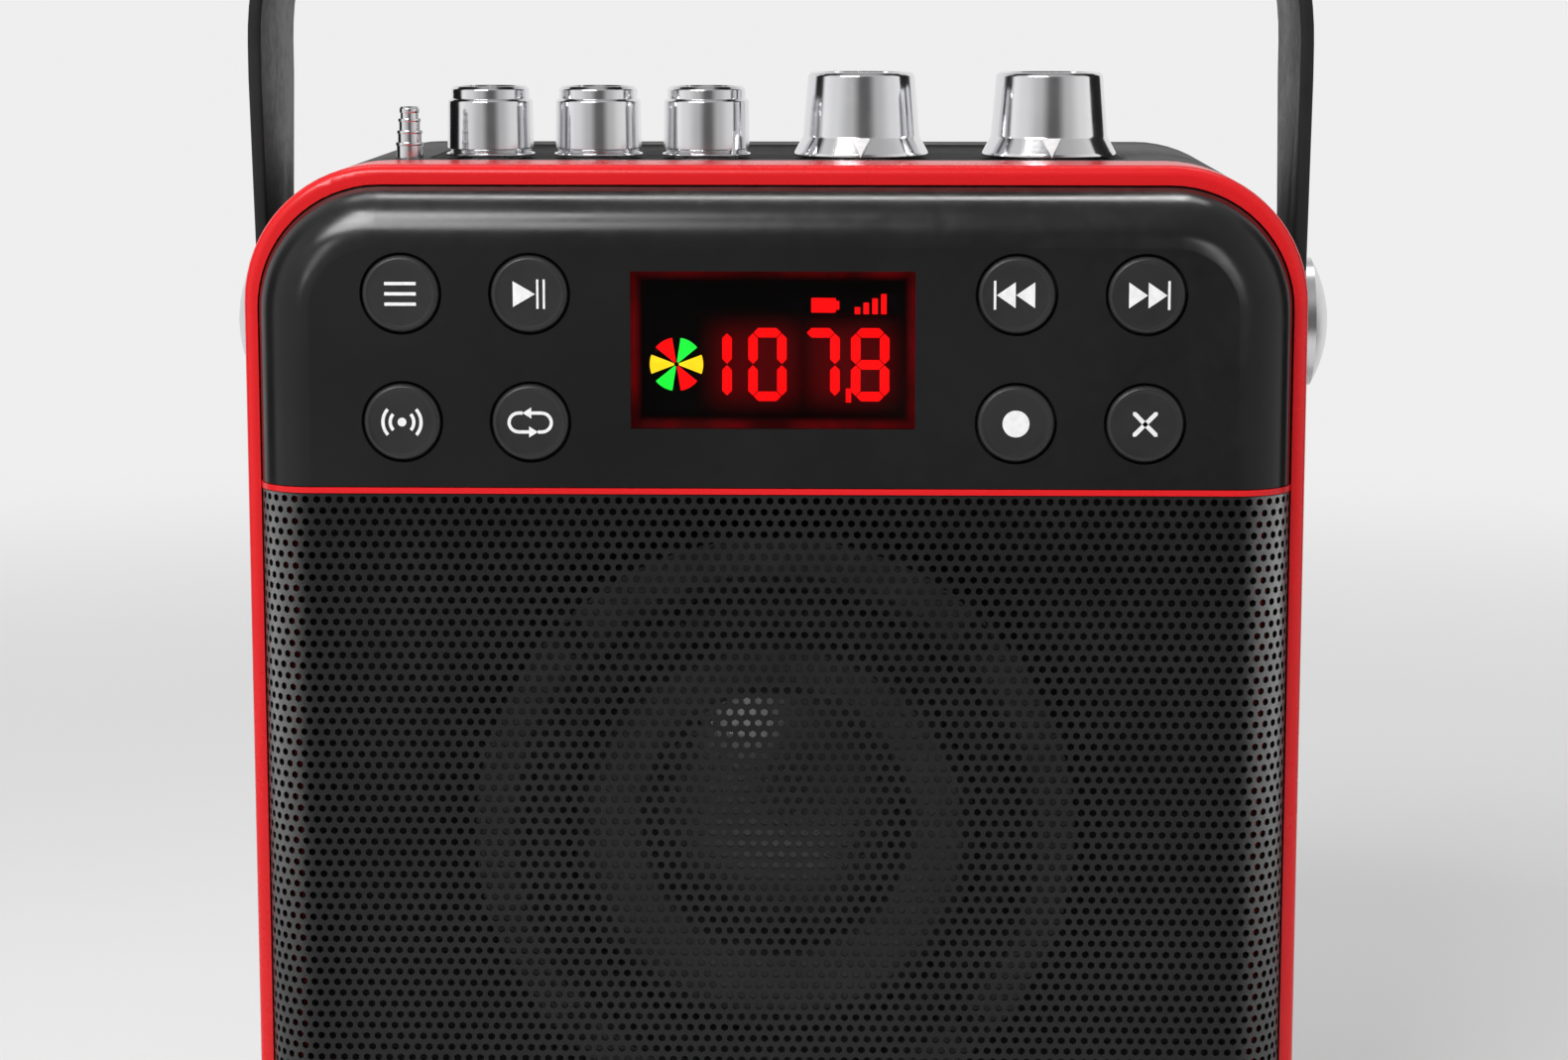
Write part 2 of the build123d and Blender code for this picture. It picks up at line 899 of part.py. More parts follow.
def antenna_section(stage):
    """The base tube is stage 0. Each next section slides in the one before it."""
    radius = antenna_radius - stage * (antenna_wall + antenna_fit)
    top = body_top + antenna_proud + stage * antenna_step
    low = antenna_foot() + stage * antenna_wall
    tube = Circle(radius)
    if stage < len(antenna_sections):
        tube -= Circle(radius - antenna_wall)
    place = Pos(antenna_x, antenna_y)
    return place * level_slab(tube, low, top)


# Handle


def handle_strap():
    """A flat band bent to an arch, with round ends on the pivots."""
    crest = body_top + strap_rise
    low = pivot_level - strap_end_radius
    arch = arch_outline(strap_outer, low, crest, strap_bend)
    arch -= arch_outline(
        strap_inner, low - strap_thickness, crest - strap_thickness, strap_bend - strap_thickness
    )
    band = front_slab(arch, -strap_width / 2, strap_width / 2)
    half_end = strap_end_radius
    half_band = strap_width / 2
    full = pivot_level + strap_widening
    taper = make_face(
        Polyline(
            (-half_end, pivot_level),
            (half_end, pivot_level),
            (half_band, full),
            (half_band, crest),
            (-half_band, crest),
            (-half_band, full),
            close=True,
        )
    )
    side_view = taper + disc(0, pivot_level, strap_end_radius)
    strap = band & side_slab(side_view, -strap_outer, strap_outer)
    hole = disc(0, pivot_level, bush_radius + bush_fit)
    return strap - side_slab(hole, -strap_outer, strap_outer)


def arch_outline(half, low, crest, bend):
    shape = Pos(0, (low + crest) / 2) * Rectangle(2 * half, crest - low)
    return fillet(shape.vertices().group_by(Axis.Y)[-1], bend)


def pivot_caps():
    """Domed caps, each with the stud that holds the handle to its side."""
    stud_end = half_width - shell_wall - stud_reach
    edge_x = cap_face + stud_cap_edge
    crest_x = edge_x + stud_cap_rise
    sphere = (stud_cap_radius**2 + stud_cap_rise**2) / (2 * stud_cap_rise)
    half_chord = stud_cap_radius / 2
    half_chord_x = crest_x - sphere + (sphere**2 - half_chord**2) ** 0.5
    dome = ThreePointArc((edge_x, stud_cap_radius), (half_chord_x, half_chord), (crest_x, 0))
    sides = Polyline(
        (crest_x, 0),
        (stud_end, 0),
        (stud_end, stud_radius),
        (cap_face, stud_radius),
        (cap_face, stud_cap_radius),
        (edge_x, stud_cap_radius),
    )
    cap = revolve(make_face(sides + dome), Axis.X)
    cap = Pos(0, 0, pivot_level) * cap
    return Compound([*mirrored(cap, -1).solids(), *cap.solids()])


def pivot_bushes():
    sleeve = disc(0, pivot_level, bush_radius) - disc(0, pivot_level, stud_radius + stud_fit)
    solid = side_slab(sleeve, pad_face, cap_face)
    return Compound([mirrored(solid, side) for side in (-1, 1)])


# Rear sockets, boards and battery


def main_board_front():
    return magnet_back_y + back_plate_height + main_board_clearance


def main_board_low():
    return jack_level - mic_body / 2 - board_thickness


def main_board():
    width = jack_plate_width + 2 * (jack_hole_gap + rail_width)
    front = main_board_front()
    back = plate_inner_y - main_board_margin
    low = main_board_low()
    board = block(0, (front + back) / 2, width, back - front)
    return level_slab(board, low, low + board_thickness)


def socket_level(height):
    """The height of a socket's centre when its body stands on the main board."""
    return main_board_low() + board_thickness + height / 2


def jack_body(name, size, depth, collar, bore, bore_depth):
    """A block on the main board with a round collar through the jack plate, and its bore."""
    x = jack_columns[name]
    z = socket_level(size)
    outer = plate_outer_y + jack_proud
    body = front_slab(block(x, z, size, size), plate_inner_y - depth, plate_inner_y)
    body += front_slab(disc(x, z, collar), plate_inner_y, outer)
    return body - front_slab(disc(x, z, bore), outer - bore_depth, outer)


def mic_jack():
    return jack_body("mic", mic_body, mic_depth, mic_collar, mic_bore, mic_bore_depth)


def aux_jack():
    return jack_body("aux", aux_body, aux_depth, aux_collar, aux_bore, aux_bore_depth)


def charging_jack():
    jack = jack_body(
        "charge", charge_body, charge_depth, charge_collar, charge_bore, charge_bore_depth
    )
    pin = disc(jack_columns["charge"], socket_level(charge_body), charge_pin)
    outer = plate_outer_y + jack_proud
    return jack + front_slab(pin, outer - charge_bore_depth, outer - jack_proud)


def usb_socket():
    x = jack_columns["usb"]
    z = socket_level(usb_height)
    outer = plate_outer_y
    shell = front_slab(block(x, z, usb_width, usb_height), plate_inner_y - usb_depth, outer)
    mouth = block(x, z, usb_width - 2 * usb_wall, usb_height - 2 * usb_wall)
    floor_y = plate_inner_y - usb_depth + usb_tongue
    shell -= front_slab(mouth, floor_y, outer)
    tongue_z = z + usb_height / 2 - usb_wall - usb_tongue
    tongue = block(x, tongue_z, usb_width - 2 * usb_tongue, usb_tongue)
    return shell + front_slab(tongue, floor_y, outer - usb_tongue)


def card_slot():
    x = jack_columns["card"]
    z = socket_level(card_height)
    body = front_slab(
        block(x, z, card_width, card_height), plate_inner_y - card_depth, plate_outer_y
    )
    mouth = block(x, z, card_slot_width, card_slot_height)
    return body - front_slab(mouth, plate_outer_y - card_depth, plate_outer_y)


def jack_plate():
    plate = front_slab(
        block(0, jack_level, jack_plate_width, jack_plate_height), plate_inner_y, plate_outer_y
    )
    holes = Sketch()
    for name, size, collar in (
        ("mic", mic_body, mic_collar),
        ("aux", aux_body, aux_collar),
        ("charge", charge_body, charge_collar),
    ):
        holes += disc(jack_columns[name], socket_level(size), collar + jack_hole_gap)
    for name, width, height in (
        ("usb", usb_width, usb_height),
        ("card", card_width, card_height),
    ):
        holes += block(
            jack_columns[name],
            socket_level(height),
            width + 2 * jack_hole_gap,
            height + 2 * jack_hole_gap,
        )
    return plate - front_slab(holes, plate_inner_y, plate_outer_y)


def battery_pack():
    """Two round cells side by side in one wrap."""
    level = floor_level + tray_wall + cell_radius
    section = SlotCenterToCenter(2 * cell_radius, 2 * cell_radius)
    place = Pos(tray_centre_y, level) * section
    return side_slab(place, -cell_length / 2, cell_length / 2)


def battery_tray():
    length = cell_length + 2 * tray_gap
    depth = 2 * (2 * cell_radius) + 2 * tray_gap
    outer = Rectangle(length + 2 * tray_wall, depth + 2 * tray_wall)
    tray = level_slab(Pos(0, tray_centre_y) * outer, floor_level, floor_level + tray_height)
    pocket = Pos(0, tray_centre_y) * Rectangle(length, depth)
    return tray - level_slab(pocket, floor_level + tray_wall, floor_level + tray_height)


# Screws


def rear_screws():
    seat_y = parting_y + counterbore_floor
    length = counterbore_floor + screw_length
    return Compound([screw_forward(x, seat_y, z, length) for x, z in rear_posts])


def inner_screws():
    """Screws of the control board, the baffle and the loudspeaker."""
    screws = [
        screw_forward(x, board_back_y, z, board_thickness + board_setback - panel_wall)
        for x, z in board_bosses
    ]
    screws += [
        screw_backward(x, frame_back_y, z, baffle_thickness + screw_length)
        for x, z in baffle_bosses
    ]
    screws += [
        screw_backward(x, flange_front_y, z, flange_thickness + screw_length)
        for x, z in speaker_screw_places()
    ]
    return Compound(screws)


parts = {
    "trim_frame": trim_frame(),
    "front_panel": front_panel(),
    "speaker_grille": speaker_grille(),
    "control_board": control_board(),
    "key_switches": key_switches(),
    "display_lens": display_lens(),
    "display_module": display_module(),
    "baffle": baffle(),
    "speaker_basket": speaker_basket(),
    "speaker_surround": speaker_surround(),
    "speaker_cone": speaker_cone(),
    "speaker_dust_cap": speaker_dust_cap(),
    "speaker_voice_coil": speaker_voice_coil(),
    "speaker_spider": speaker_spider(),
    "speaker_magnet": speaker_magnet(),
    "speaker_back_plate": speaker_back_plate(),
    "cabinet": cabinet(),
    "rear_cover": rear_cover(),
    "top_plate": top_plate(),
    "rubber_feet": rubber_feet(),
    "potentiometers": potentiometers(),
    "pot_nuts": pot_nuts(),
    "pot_board": pot_board(),
    "handle_strap": handle_strap(),
    "pivot_caps": pivot_caps(),
    "pivot_bushes": pivot_bushes(),
    "main_board": main_board(),
    "mic_jack": mic_jack(),
    "aux_jack": aux_jack(),
    "charging_jack": charging_jack(),
    "usb_socket": usb_socket(),
    "card_slot": card_slot(),
    "jack_plate": jack_plate(),
    "battery_pack": battery_pack(),
    "battery_tray": battery_tray(),
    "rear_screws": rear_screws(),
    "inner_screws": inner_screws(),
    "antenna_base": antenna_section(0),
}
for name, (x, z) in button_places.items():
    parts[name] = push_button(x, z)
for name, x in small_knobs.items():
    parts[f"small_knob_{name}"] = small_knob(x)
    parts[f"small_shaft_{name}"] = pot_shaft(x, small_height + small_ring_height)
for name, x in large_knobs.items():
    parts[f"large_knob_{name}"] = large_knob(x)
    parts[f"large_shaft_{name}"] = pot_shaft(x, large_height)
for stage, name in enumerate(antenna_sections, start=1):
    parts[f"antenna_{name}"] = antenna_section(stage)

os.makedirs("parts", exist_ok=True)
for name, shape in parts.items():
    export_step(shape, f"parts/{name}.step")
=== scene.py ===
import json
import math

import bmesh
import bpy
from mathutils import Matrix, Vector


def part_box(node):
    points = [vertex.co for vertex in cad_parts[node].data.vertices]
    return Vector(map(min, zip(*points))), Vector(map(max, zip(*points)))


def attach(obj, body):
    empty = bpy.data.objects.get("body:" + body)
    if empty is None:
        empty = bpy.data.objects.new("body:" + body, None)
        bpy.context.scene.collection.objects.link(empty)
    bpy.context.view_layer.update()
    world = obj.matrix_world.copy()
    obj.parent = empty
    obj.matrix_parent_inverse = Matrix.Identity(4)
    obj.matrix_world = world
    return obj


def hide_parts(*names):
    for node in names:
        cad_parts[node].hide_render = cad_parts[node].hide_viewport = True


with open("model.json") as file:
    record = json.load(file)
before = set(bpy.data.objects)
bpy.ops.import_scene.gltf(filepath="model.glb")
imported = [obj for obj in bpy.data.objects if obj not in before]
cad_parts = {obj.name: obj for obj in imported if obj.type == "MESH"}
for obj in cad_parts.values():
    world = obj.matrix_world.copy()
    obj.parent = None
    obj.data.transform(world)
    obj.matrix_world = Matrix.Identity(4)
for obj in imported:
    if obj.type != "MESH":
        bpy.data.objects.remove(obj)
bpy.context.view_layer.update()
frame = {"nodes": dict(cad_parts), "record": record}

nodes = frame["nodes"]
bodies = frame["record"]["behaviour"]["bodies"]
body_of = {node: body for body, members in bodies.items() for node in members}
slot_of = {part["node"]: part["material_slot"] for part in frame["record"]["subparts"]}

mm = 0.001
across = Vector((1, 0, 0))
inwards = Vector((0, 1, 0))
up = Vector((0, 0, 1))

# Perforated sheet over the loudspeaker
hole_pitch = 2.0 * mm
hole_row_pitch = 1.944 * mm
hole_radius = 0.68 * mm
sheet_thickness = 0.8 * mm
sheet_bend = 10.0 * mm
sheet_corner = 21.35 * mm
sheet_tuck = 16.5 * mm

# Push buttons and their signs
button_radius = 6.55 * mm
button_round = 0.55 * mm
button_edge = 0.2 * mm
button_dish = 0.12 * mm
cap_depth = 3.1 * mm
flange_depth = 1.2 * mm
stem_radius = 1.75 * mm
print_depth = 0.3 * mm
print_setback = 0.01 * mm
stroke = 0.56 * mm
triangle_height = 4.4 * mm

# Display
window_width = 48.2 * mm
window_height = 26.6 * mm
rim_glow = 1.8 * mm
digit_height = 12.6 * mm
digit_width = 6.6 * mm
digit_stroke = 1.65 * mm
digit_low = -9.0 * mm
digit_middle = digit_low + digit_height / 2
digit_gap = 0.12 * mm
digits_shown = ((-13.7 * mm, "1"), (-4.3 * mm, "0"), (4.8 * mm, "7"), (13.3 * mm, "8"))
digit_pairs = (-3.0 * mm, 13.2 * mm)
halo_across = (3.5 * mm, 10.5 * mm)
halo_up = (3.0 * mm, 9.5 * mm)
glow_lift = 0.06 * mm
fan_radius = 4.6 * mm
fan_hub = 0.4 * mm
fan_place = (-16.6 * mm, -2.7 * mm)
petal_angle = 42
status_level = 7.5 * mm
signal_foot = 6.0 * mm

# Knobs
well_radius = 6.3 * mm
well_height = 4.3 * mm
knob_round = 0.25 * mm
face_sink = 0.35 * mm
face_slope = 0.3 * mm
small_flange_height = 0.45 * mm
small_neck = 7.25 * mm
small_neck_low = 0.7 * mm
small_neck_high = 1.0 * mm
small_body = 7.8 * mm
small_body_low = 1.25 * mm
small_taper = 0.15 * mm
small_shoulder = 10.2 * mm
small_shoulder_drop = 0.4 * mm
small_shoulder_step = 0.5 * mm
small_crown = 7.05 * mm
small_crown_edge = 0.6 * mm
small_rim = 1.3 * mm
large_skirt_edge = 0.6 * mm
large_skirt_height = 3.6 * mm
large_low = 10.5 * mm
large_high = 9.6 * mm
large_crown_edge = 0.5 * mm
large_rim = 1.4 * mm
pointer_half = 1.7 * mm
pointer_thickness = 0.6 * mm
pointer_round = 0.12 * mm
tick_height = 4.2 * mm
tick_width = 0.7 * mm
tick_depth = 0.4 * mm
tick_low = 0.4 * mm
tick_proud = 0.05 * mm

# Antenna
antenna_steps = 32
ferrule_height = 0.55 * mm
ferrule_rise = 0.16 * mm
ferrule_seat = 0.15 * mm
ferrule_round = 0.06 * mm
tip_edge = 0.3 * mm
tip_slope = 0.2 * mm
tip_round = 0.08 * mm

# Loudspeaker
curve_steps = 10
curve = [step / curve_steps for step in range(curve_steps + 1)]
cone_bow = 0.85
cone_sheet = 0.9 * mm
roll_radius = 4.2 * mm
roll_lip = 2.4 * mm
roll_sheet = 0.8 * mm
cap_sheet = 0.7 * mm

# Shells, handle and screws
seam_round = 0.45 * mm
wall_slant = 0.1
strap_round = 0.7 * mm
screw_inset = 20.0 * mm
screw_seat = 4.0 * mm
screw_head = 2.8 * mm
screw_rise = 2.0 * mm
screw_crown = 0.72 * screw_head
screw_curve = ((0.93 * screw_head, 0.45 * mm), (screw_head, 1.1 * mm))
screw_shank = 1.5 * mm
screw_reach = 13.0 * mm
recess_arm = 1.35 * mm
recess_half = 0.32 * mm
recess_depth = 1.1 * mm

# Floor and camera
floor_half = 6.0
pale = 0.86
sensor_width = 36.0
focal_length = 83.34
camera_place = (18.0 * mm, -672.9 * mm, 231.4 * mm)
camera_dip = 8.62
camera_turn = 1.495


# Mesh helpers


def middle(node):
    low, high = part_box(node)
    return (low + high) / 2


def front_middle(node):
    spot = middle(node)
    spot.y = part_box(node)[0].y
    return spot


def top_middle(node):
    spot = middle(node)
    spot.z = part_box(node)[1].z
    return spot


def half_width(node):
    low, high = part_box(node)
    return (high.x - low.x) / 2


def depth_of(node):
    low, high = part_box(node)
    return high.y - low.y


def finish_piece(name, bm, material, like, sharp=32, stands_for=None):
    """Makes a piece of a bmesh. It rides with the CAD node it is like, and takes the finish it is given.
    """
    mesh = bpy.data.meshes.new(name)
    bm.to_mesh(mesh)
    bm.free()
    mesh.shade_smooth()
    mesh.set_sharp_from_angle(angle=math.radians(sharp))
    mesh.materials.append(material)
    piece = bpy.data.objects.new(name, mesh)
    bpy.context.scene.collection.objects.link(piece)
    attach(piece, body_of[like])
    if stands_for:
        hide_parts(*stands_for)
    return piece


def clean(bm):
    """Closes seams and poles and turns every face outwards."""
    bmesh.ops.remove_doubles(bm, verts=bm.verts, dist=mm / 1000)
    bmesh.ops.recalc_face_normals(bm, faces=bm.faces)


def edges_of(verts):
    """The edges at some points, each once and in a steady order."""
    return list(dict.fromkeys(edge for vert in verts for edge in vert.link_edges))


def joined_copy(node, nearness, flatness):
    """A copy of a node's mesh, with near points merged and almost level faces joined."""
    bm = bmesh.new()
    bm.from_mesh(nodes[node].data)
    bmesh.ops.remove_doubles(bm, verts=bm.verts, dist=nearness)
    bmesh.ops.dissolve_limit(bm, angle_limit=math.radians(flatness), verts=bm.verts, edges=bm.edges)
    return bm


def turn(bm, outline, centre, axis, steps=72):
    """Spins an outline of (radius, height) points about an axis through a centre."""
    aside = axis.orthogonal().normalized()
    verts = [bm.verts.new(centre + aside * radius + axis * height) for radius, height in outline]
    edges = [bm.edges.new(pair) for pair in zip(verts, verts[1:])]
    bmesh.ops.spin(
        bm, geom=verts + edges, cent=centre, axis=axis, angle=math.tau, steps=steps, use_merge=True
    )
    clean(bm)


def round_off(bm, edges, width, segments, clamp=True):
    """Rounds the given edges, and unless told otherwise stops where the rounds would meet."""
    bmesh.ops.bevel(
        bm,
        geom=edges,
        offset=width,
        offset_type="OFFSET",
        segments=segments,
        profile=0.5,
        affect="EDGES",
        material=-1,
        clamp_overlap=clamp,
    )


def round_edges(bm, width, angle=25, segments=2):
    """Rounds every edge that is sharper than an angle."""
    sharp = [e for e in bm.edges if e.is_manifold and e.calc_face_angle() > math.radians(angle)]
    round_off(bm, sharp, width, segments)


def thicken(bm, vector):
    """Gives flat faces a thickness along a vector."""
    made = bmesh.ops.extrude_face_region(bm, geom=bm.faces[:])
    lifted = [item for item in made["geom"] if isinstance(item, bmesh.types.BMVert)]
    bmesh.ops.translate(bm, verts=lifted, vec=vector)
    clean(bm)


# Flat drawing, in a plane that faces the front: u runs across, v runs up


def patch(bm, place, corners):
    bm.faces.new([bm.verts.new(place + across * u + up * v) for u, v in corners])


def bar(bm, place, u, v, width, height):
    half_w, half_h = width / 2, height / 2
    patch(
        bm,
        place,
        [
            (u - half_w, v - half_h),
            (u + half_w, v - half_h),
            (u + half_w, v + half_h),
            (u - half_w, v + half_h),
        ],
    )


def arrow(bm, place, u, v, length, height):
    """A triangle whose tip is at (u, v). A negative length points it to the left."""
    patch(bm, place, [(u - length, v - height / 2), (u, v), (u - length, v + height / 2)])


def stick(bm, place, start, end, width):
    """A straight stroke with pointed ends, as in a lit digit."""
    start, end = Vector(start), Vector(end)
    run = (end - start).normalized()
    side = Vector((-run.y, run.x)) * width / 2
    shoulder = run * width / 2
    patch(
        bm,
        place,
        [
            start,
            start + shoulder - side,
            end - shoulder - side,
            end,
            end - shoulder + side,
            start + shoulder + side,
        ],
    )


def arc_band(bm, place, u, v, inner, outer, start, sweep, steps=10):
    """A curved stroke between two radii, from a start angle, in degrees."""
    centre = place + across * u + up * v
    angle = math.radians(start)
    ray = across * math.cos(angle) + up * math.sin(angle)
    ends = [bm.verts.new(centre + ray * radius) for radius in (inner, outer)]
    edge = bm.edges.new(ends)
    bmesh.ops.spin(
        bm,
        geom=[*ends, edge],
        cent=centre,
        axis=-inwards,
        angle=math.radians(sweep),
        steps=steps,
        use_merge=False,
    )


def dot(bm, place, u, v, radius):
    spot = Matrix.Translation(place + across * u + up * v) @ Matrix.Rotation(math.pi / 2, 4, "X")
    bmesh.ops.create_circle(bm, cap_ends=True, segments=32, radius=radius, matrix=spot)


# Shader helpers


def colour(red, green, blue):
    return (red, green, blue, 1.0)


def grey(value):
    return colour(value, value, value)


def feed(tree, socket, value):
    """Links a socket to another, or sets its own value."""
    if isinstance(value, bpy.types.NodeSocket):
        tree.links.new(value, socket)
    else:
        socket.default_value = value


def add(tree, kind, feeds=None, **settings):
    """Adds a shader node, with its settings and what feeds its sockets."""
    made = tree.nodes.new(kind)
    for name, value in settings.items():
        setattr(made, name, value)
    for name, value in (feeds or {}).items():
        feed(tree, made.inputs[name], value)
    return made


def blend(tree, share, first, second):
    """The colour between two colours."""
    mix = add(tree, "ShaderNodeMix", data_type="RGBA")
    for place, value in ((0, share), (6, first), (7, second)):
        feed(tree, mix.inputs[place], value)
    return mix.outputs[2]


def sums(tree, operation, *values, clamp=False):
    made = add(tree, "ShaderNodeMath", operation=operation, use_clamp=clamp)
    for place, value in enumerate(values):
        feed(tree, made.inputs[place], value)
    return made.outputs[0]


def ramp(tree, value, low, high, first=0.0, last=1.0):
    """Takes a value smoothly from one range to another."""
    feeds = {"Value": value, "From Min": low, "From Max": high, "To Min": first, "To Max": last}
    return add(tree, "ShaderNodeMapRange", feeds, interpolation_type="SMOOTHSTEP").outputs["Result"]


def noise(tree, vector, scale, detail=3.0, roughness=0.5):
    feeds = {"Vector": vector, "Scale": scale, "Detail": detail, "Roughness": roughness}
    return add(tree, "ShaderNodeTexNoise", feeds).outputs["Fac"]


def object_place(tree):
    return add(tree, "ShaderNodeTexCoord").outputs["Object"]


def size_of(value):
    return 1 if isinstance(value, float) else len(value)


def new_group(name, inputs, outputs):
    """A shader group with named sockets. Returns its tree, its inputs and its outputs."""
    tree = bpy.data.node_groups.new(name, "ShaderNodeTree")
    for label, value in inputs.items():
        kind = {1: "NodeSocketFloat", 3: "NodeSocketVector", 4: "NodeSocketColor"}[size_of(value)]
        tree.interface.new_socket(label, in_out="INPUT", socket_type=kind).default_value = value
    for label, kind in outputs.items():
        tree.interface.new_socket(label, in_out="OUTPUT", socket_type=kind)
    return tree, add(tree, "NodeGroupInput").outputs, add(tree, "NodeGroupOutput").inputs


def tone_group():
    """A colour that drifts slowly between two tones."""
    tree, given, out = new_group(
        "tone_drift",
        {"Light": grey(0.5), "Dark": grey(0.5), "Scale": 40.0},
        {"Color": "NodeSocketColor"},
    )
    share = ramp(tree, noise(tree, object_place(tree), given["Scale"], 4.0, 0.6), 0.35, 0.65)
    feed(tree, out["Color"], blend(tree, share, given["Dark"], given["Light"]))
    return tree


def smudge_group():
    """Gloss that is dulled in soft patches, as on a surface that has been handled."""
    tree, given, out = new_group(
        "handled_gloss",
        {"Smooth": 0.1, "Rough": 0.2, "Scale": 30.0},
        {"Roughness": "NodeSocketFloat"},
    )
    place = object_place(tree)
    patches = noise(tree, place, given["Scale"], 5.0, 0.65)
    specks_per_patch, speck_share = 14.0, 0.3
    fine = noise(tree, place, sums(tree, "MULTIPLY", given["Scale"], specks_per_patch), 2.0)
    most = sums(tree, "MULTIPLY", patches, 1.0 - speck_share)
    mixed = sums(tree, "MULTIPLY_ADD", fine, speck_share, most)
    spread = ramp(tree, mixed, 0.38, 0.62)
    rough = sums(
        tree,
        "MULTIPLY_ADD",
        spread,
        sums(tree, "SUBTRACT", given["Rough"], given["Smooth"]),
        given["Smooth"],
    )
    feed(tree, out["Roughness"], rough)
    return tree


def grain_group():
    """The fine pebbled skin of moulded plastic, rubber or powder paint."""
    tree, given, out = new_group(
        "moulded_grain", {"Scale": 2000.0}, {"Height": "NodeSocketFloat"}
    )
    place = object_place(tree)
    pebbles = add(tree, "ShaderNodeTexVoronoi", {"Vector": place, "Scale": given["Scale"]})
    soft = noise(tree, place, given["Scale"], 2.0)
    feed(tree, out["Height"], sums(tree, "ADD", pebbles.outputs["Distance"], soft))
    return tree


def dust_group():
    """A trace of dust on faces that look up."""
    tree, given, out = new_group(
        "settled_dust",
        {"Color": grey(0.5), "Dust": grey(0.5), "Amount": 0.1, "Scale": 300.0},
        {"Color": "NodeSocketColor"},
    )
    facing = add(tree, "ShaderNodeSeparateXYZ")
    feed(tree, facing.inputs[0], add(tree, "ShaderNodeNewGeometry").outputs["Normal"])
    looks_up = ramp(tree, facing.outputs["Z"], 0.4, 1.0)
    specks = ramp(tree, noise(tree, object_place(tree), given["Scale"], 6.0, 0.7), 0.4, 0.75)
    share = sums(tree, "MULTIPLY", sums(tree, "MULTIPLY", looks_up, specks), given["Amount"])
    feed(tree, out["Color"], blend(tree, share, given["Color"], given["Dust"]))
    return tree


tone_drift = tone_group()
handled_gloss = smudge_group()
moulded_grain = grain_group()
settled_dust = dust_group()
dust_colour = colour(0.42, 0.40, 0.37)


def place_group(tree, group, **values):
    made = add(tree, "ShaderNodeGroup", node_tree=group)
    for name, value in values.items():
        feed(tree, made.inputs[name], value)
    return made.outputs[0]


def finish(
    name, light, dark, smooth, rough, tone=40.0, patches=30.0, grain=None, depth=0.1, dust=0.0, **sockets
):
    """A finish with a drifting tone, handled gloss and, where asked for, grain and dust."""
    material = bpy.data.materials.new(name)
    material.use_nodes = True
    tree = material.node_tree
    shader = tree.nodes["Principled BSDF"]
    for label, value in sockets.items():
        shader.inputs[label.replace("_", " ")].default_value = value
    shade = place_group(tree, tone_drift, Light=light, Dark=dark, Scale=tone)
    if dust:
        shade = place_group(tree, settled_dust, Color=shade, Dust=dust_colour, Amount=dust)
    feed(tree, shader.inputs["Base Color"], shade)
    gloss = place_group(tree, handled_gloss, Smooth=smooth, Rough=rough, Scale=patches)
    feed(tree, shader.inputs["Roughness"], gloss)
    if grain:
        height = place_group(tree, moulded_grain, Scale=grain)
        bump = add(tree, "ShaderNodeBump", {"Height": height, "Strength": depth, "Distance": 0.1 * mm})
        feed(tree, shader.inputs["Normal"], bump.outputs["Normal"])
    return material


def glowing(name, light, dark, strength):
    """A lit shape behind the display's window."""
    material = finish(
        name, grey(0.004), grey(0.003), 0.4, 0.5, Emission_Strength=strength, Specular_IOR_Level=0.03
    )
    tree = material.node_tree
    shader = tree.nodes["Principled BSDF"]
    glow = place_group(tree, tone_drift, Light=light, Dark=dark, Scale=350.0)
    feed(tree, shader.inputs["Emission Color"], glow)
    return material


def display_ground():
    """The dark face of the read-out, with a red glow along its rim and round its digits."""
    material = finish(
        "display_ground",
        grey(0.002),
        grey(0.001),
        0.5,
        0.6,
        Emission_Strength=1.0,
        Specular_IOR_Level=0.03,
    )
    tree = material.node_tree
    centre = middle("display_module")
    spot = add(tree, "ShaderNodeSeparateXYZ")
    feed(tree, spot.inputs[0], object_place(tree))
    from_middle = {}
    for axis, place in (("X", centre.x), ("Z", centre.z)):
        from_middle[axis] = sums(tree, "SUBTRACT", spot.outputs[axis], place)
    beside = sums(tree, "ABSOLUTE", from_middle["X"])
    above = sums(tree, "ABSOLUTE", from_middle["Z"])
    to_side = ramp(tree, beside, window_width / 2 - rim_glow, window_width / 2)
    to_edge = ramp(tree, above, window_height / 2 - rim_glow, window_height / 2)
    rim = sums(tree, "MAXIMUM", to_side, to_edge)
    uneven = noise(tree, object_place(tree), 120.0, 2.0)
    rim = sums(tree, "MULTIPLY", rim, ramp(tree, uneven, 0.3, 0.7, 0.25, 1.0))
    from_digits = sums(tree, "ABSOLUTE", sums(tree, "SUBTRACT", from_middle["Z"], digit_middle))
    level_with_digits = ramp(tree, from_digits, *halo_up, 1.0, 0.0)
    halos = []
    for pair_middle in digit_pairs:
        from_pair = sums(tree, "ABSOLUTE", sums(tree, "SUBTRACT", from_middle["X"], pair_middle))
        halos.append(ramp(tree, from_pair, *halo_across, 1.0, 0.0))
    halo = sums(tree, "MULTIPLY", sums(tree, "MAXIMUM", *halos), level_with_digits)
    halo_share, rim_share = 0.6, 0.9
    rim = sums(tree, "MULTIPLY", rim, rim_share)
    share = sums(tree, "MULTIPLY_ADD", halo, halo_share, rim, clamp=True)
    glow = blend(tree, share, colour(0.0, 0.0, 0.0), colour(0.13, 0.001, 0.002))
    feed(tree, tree.nodes["Principled BSDF"].inputs["Emission Color"], glow)
    return material


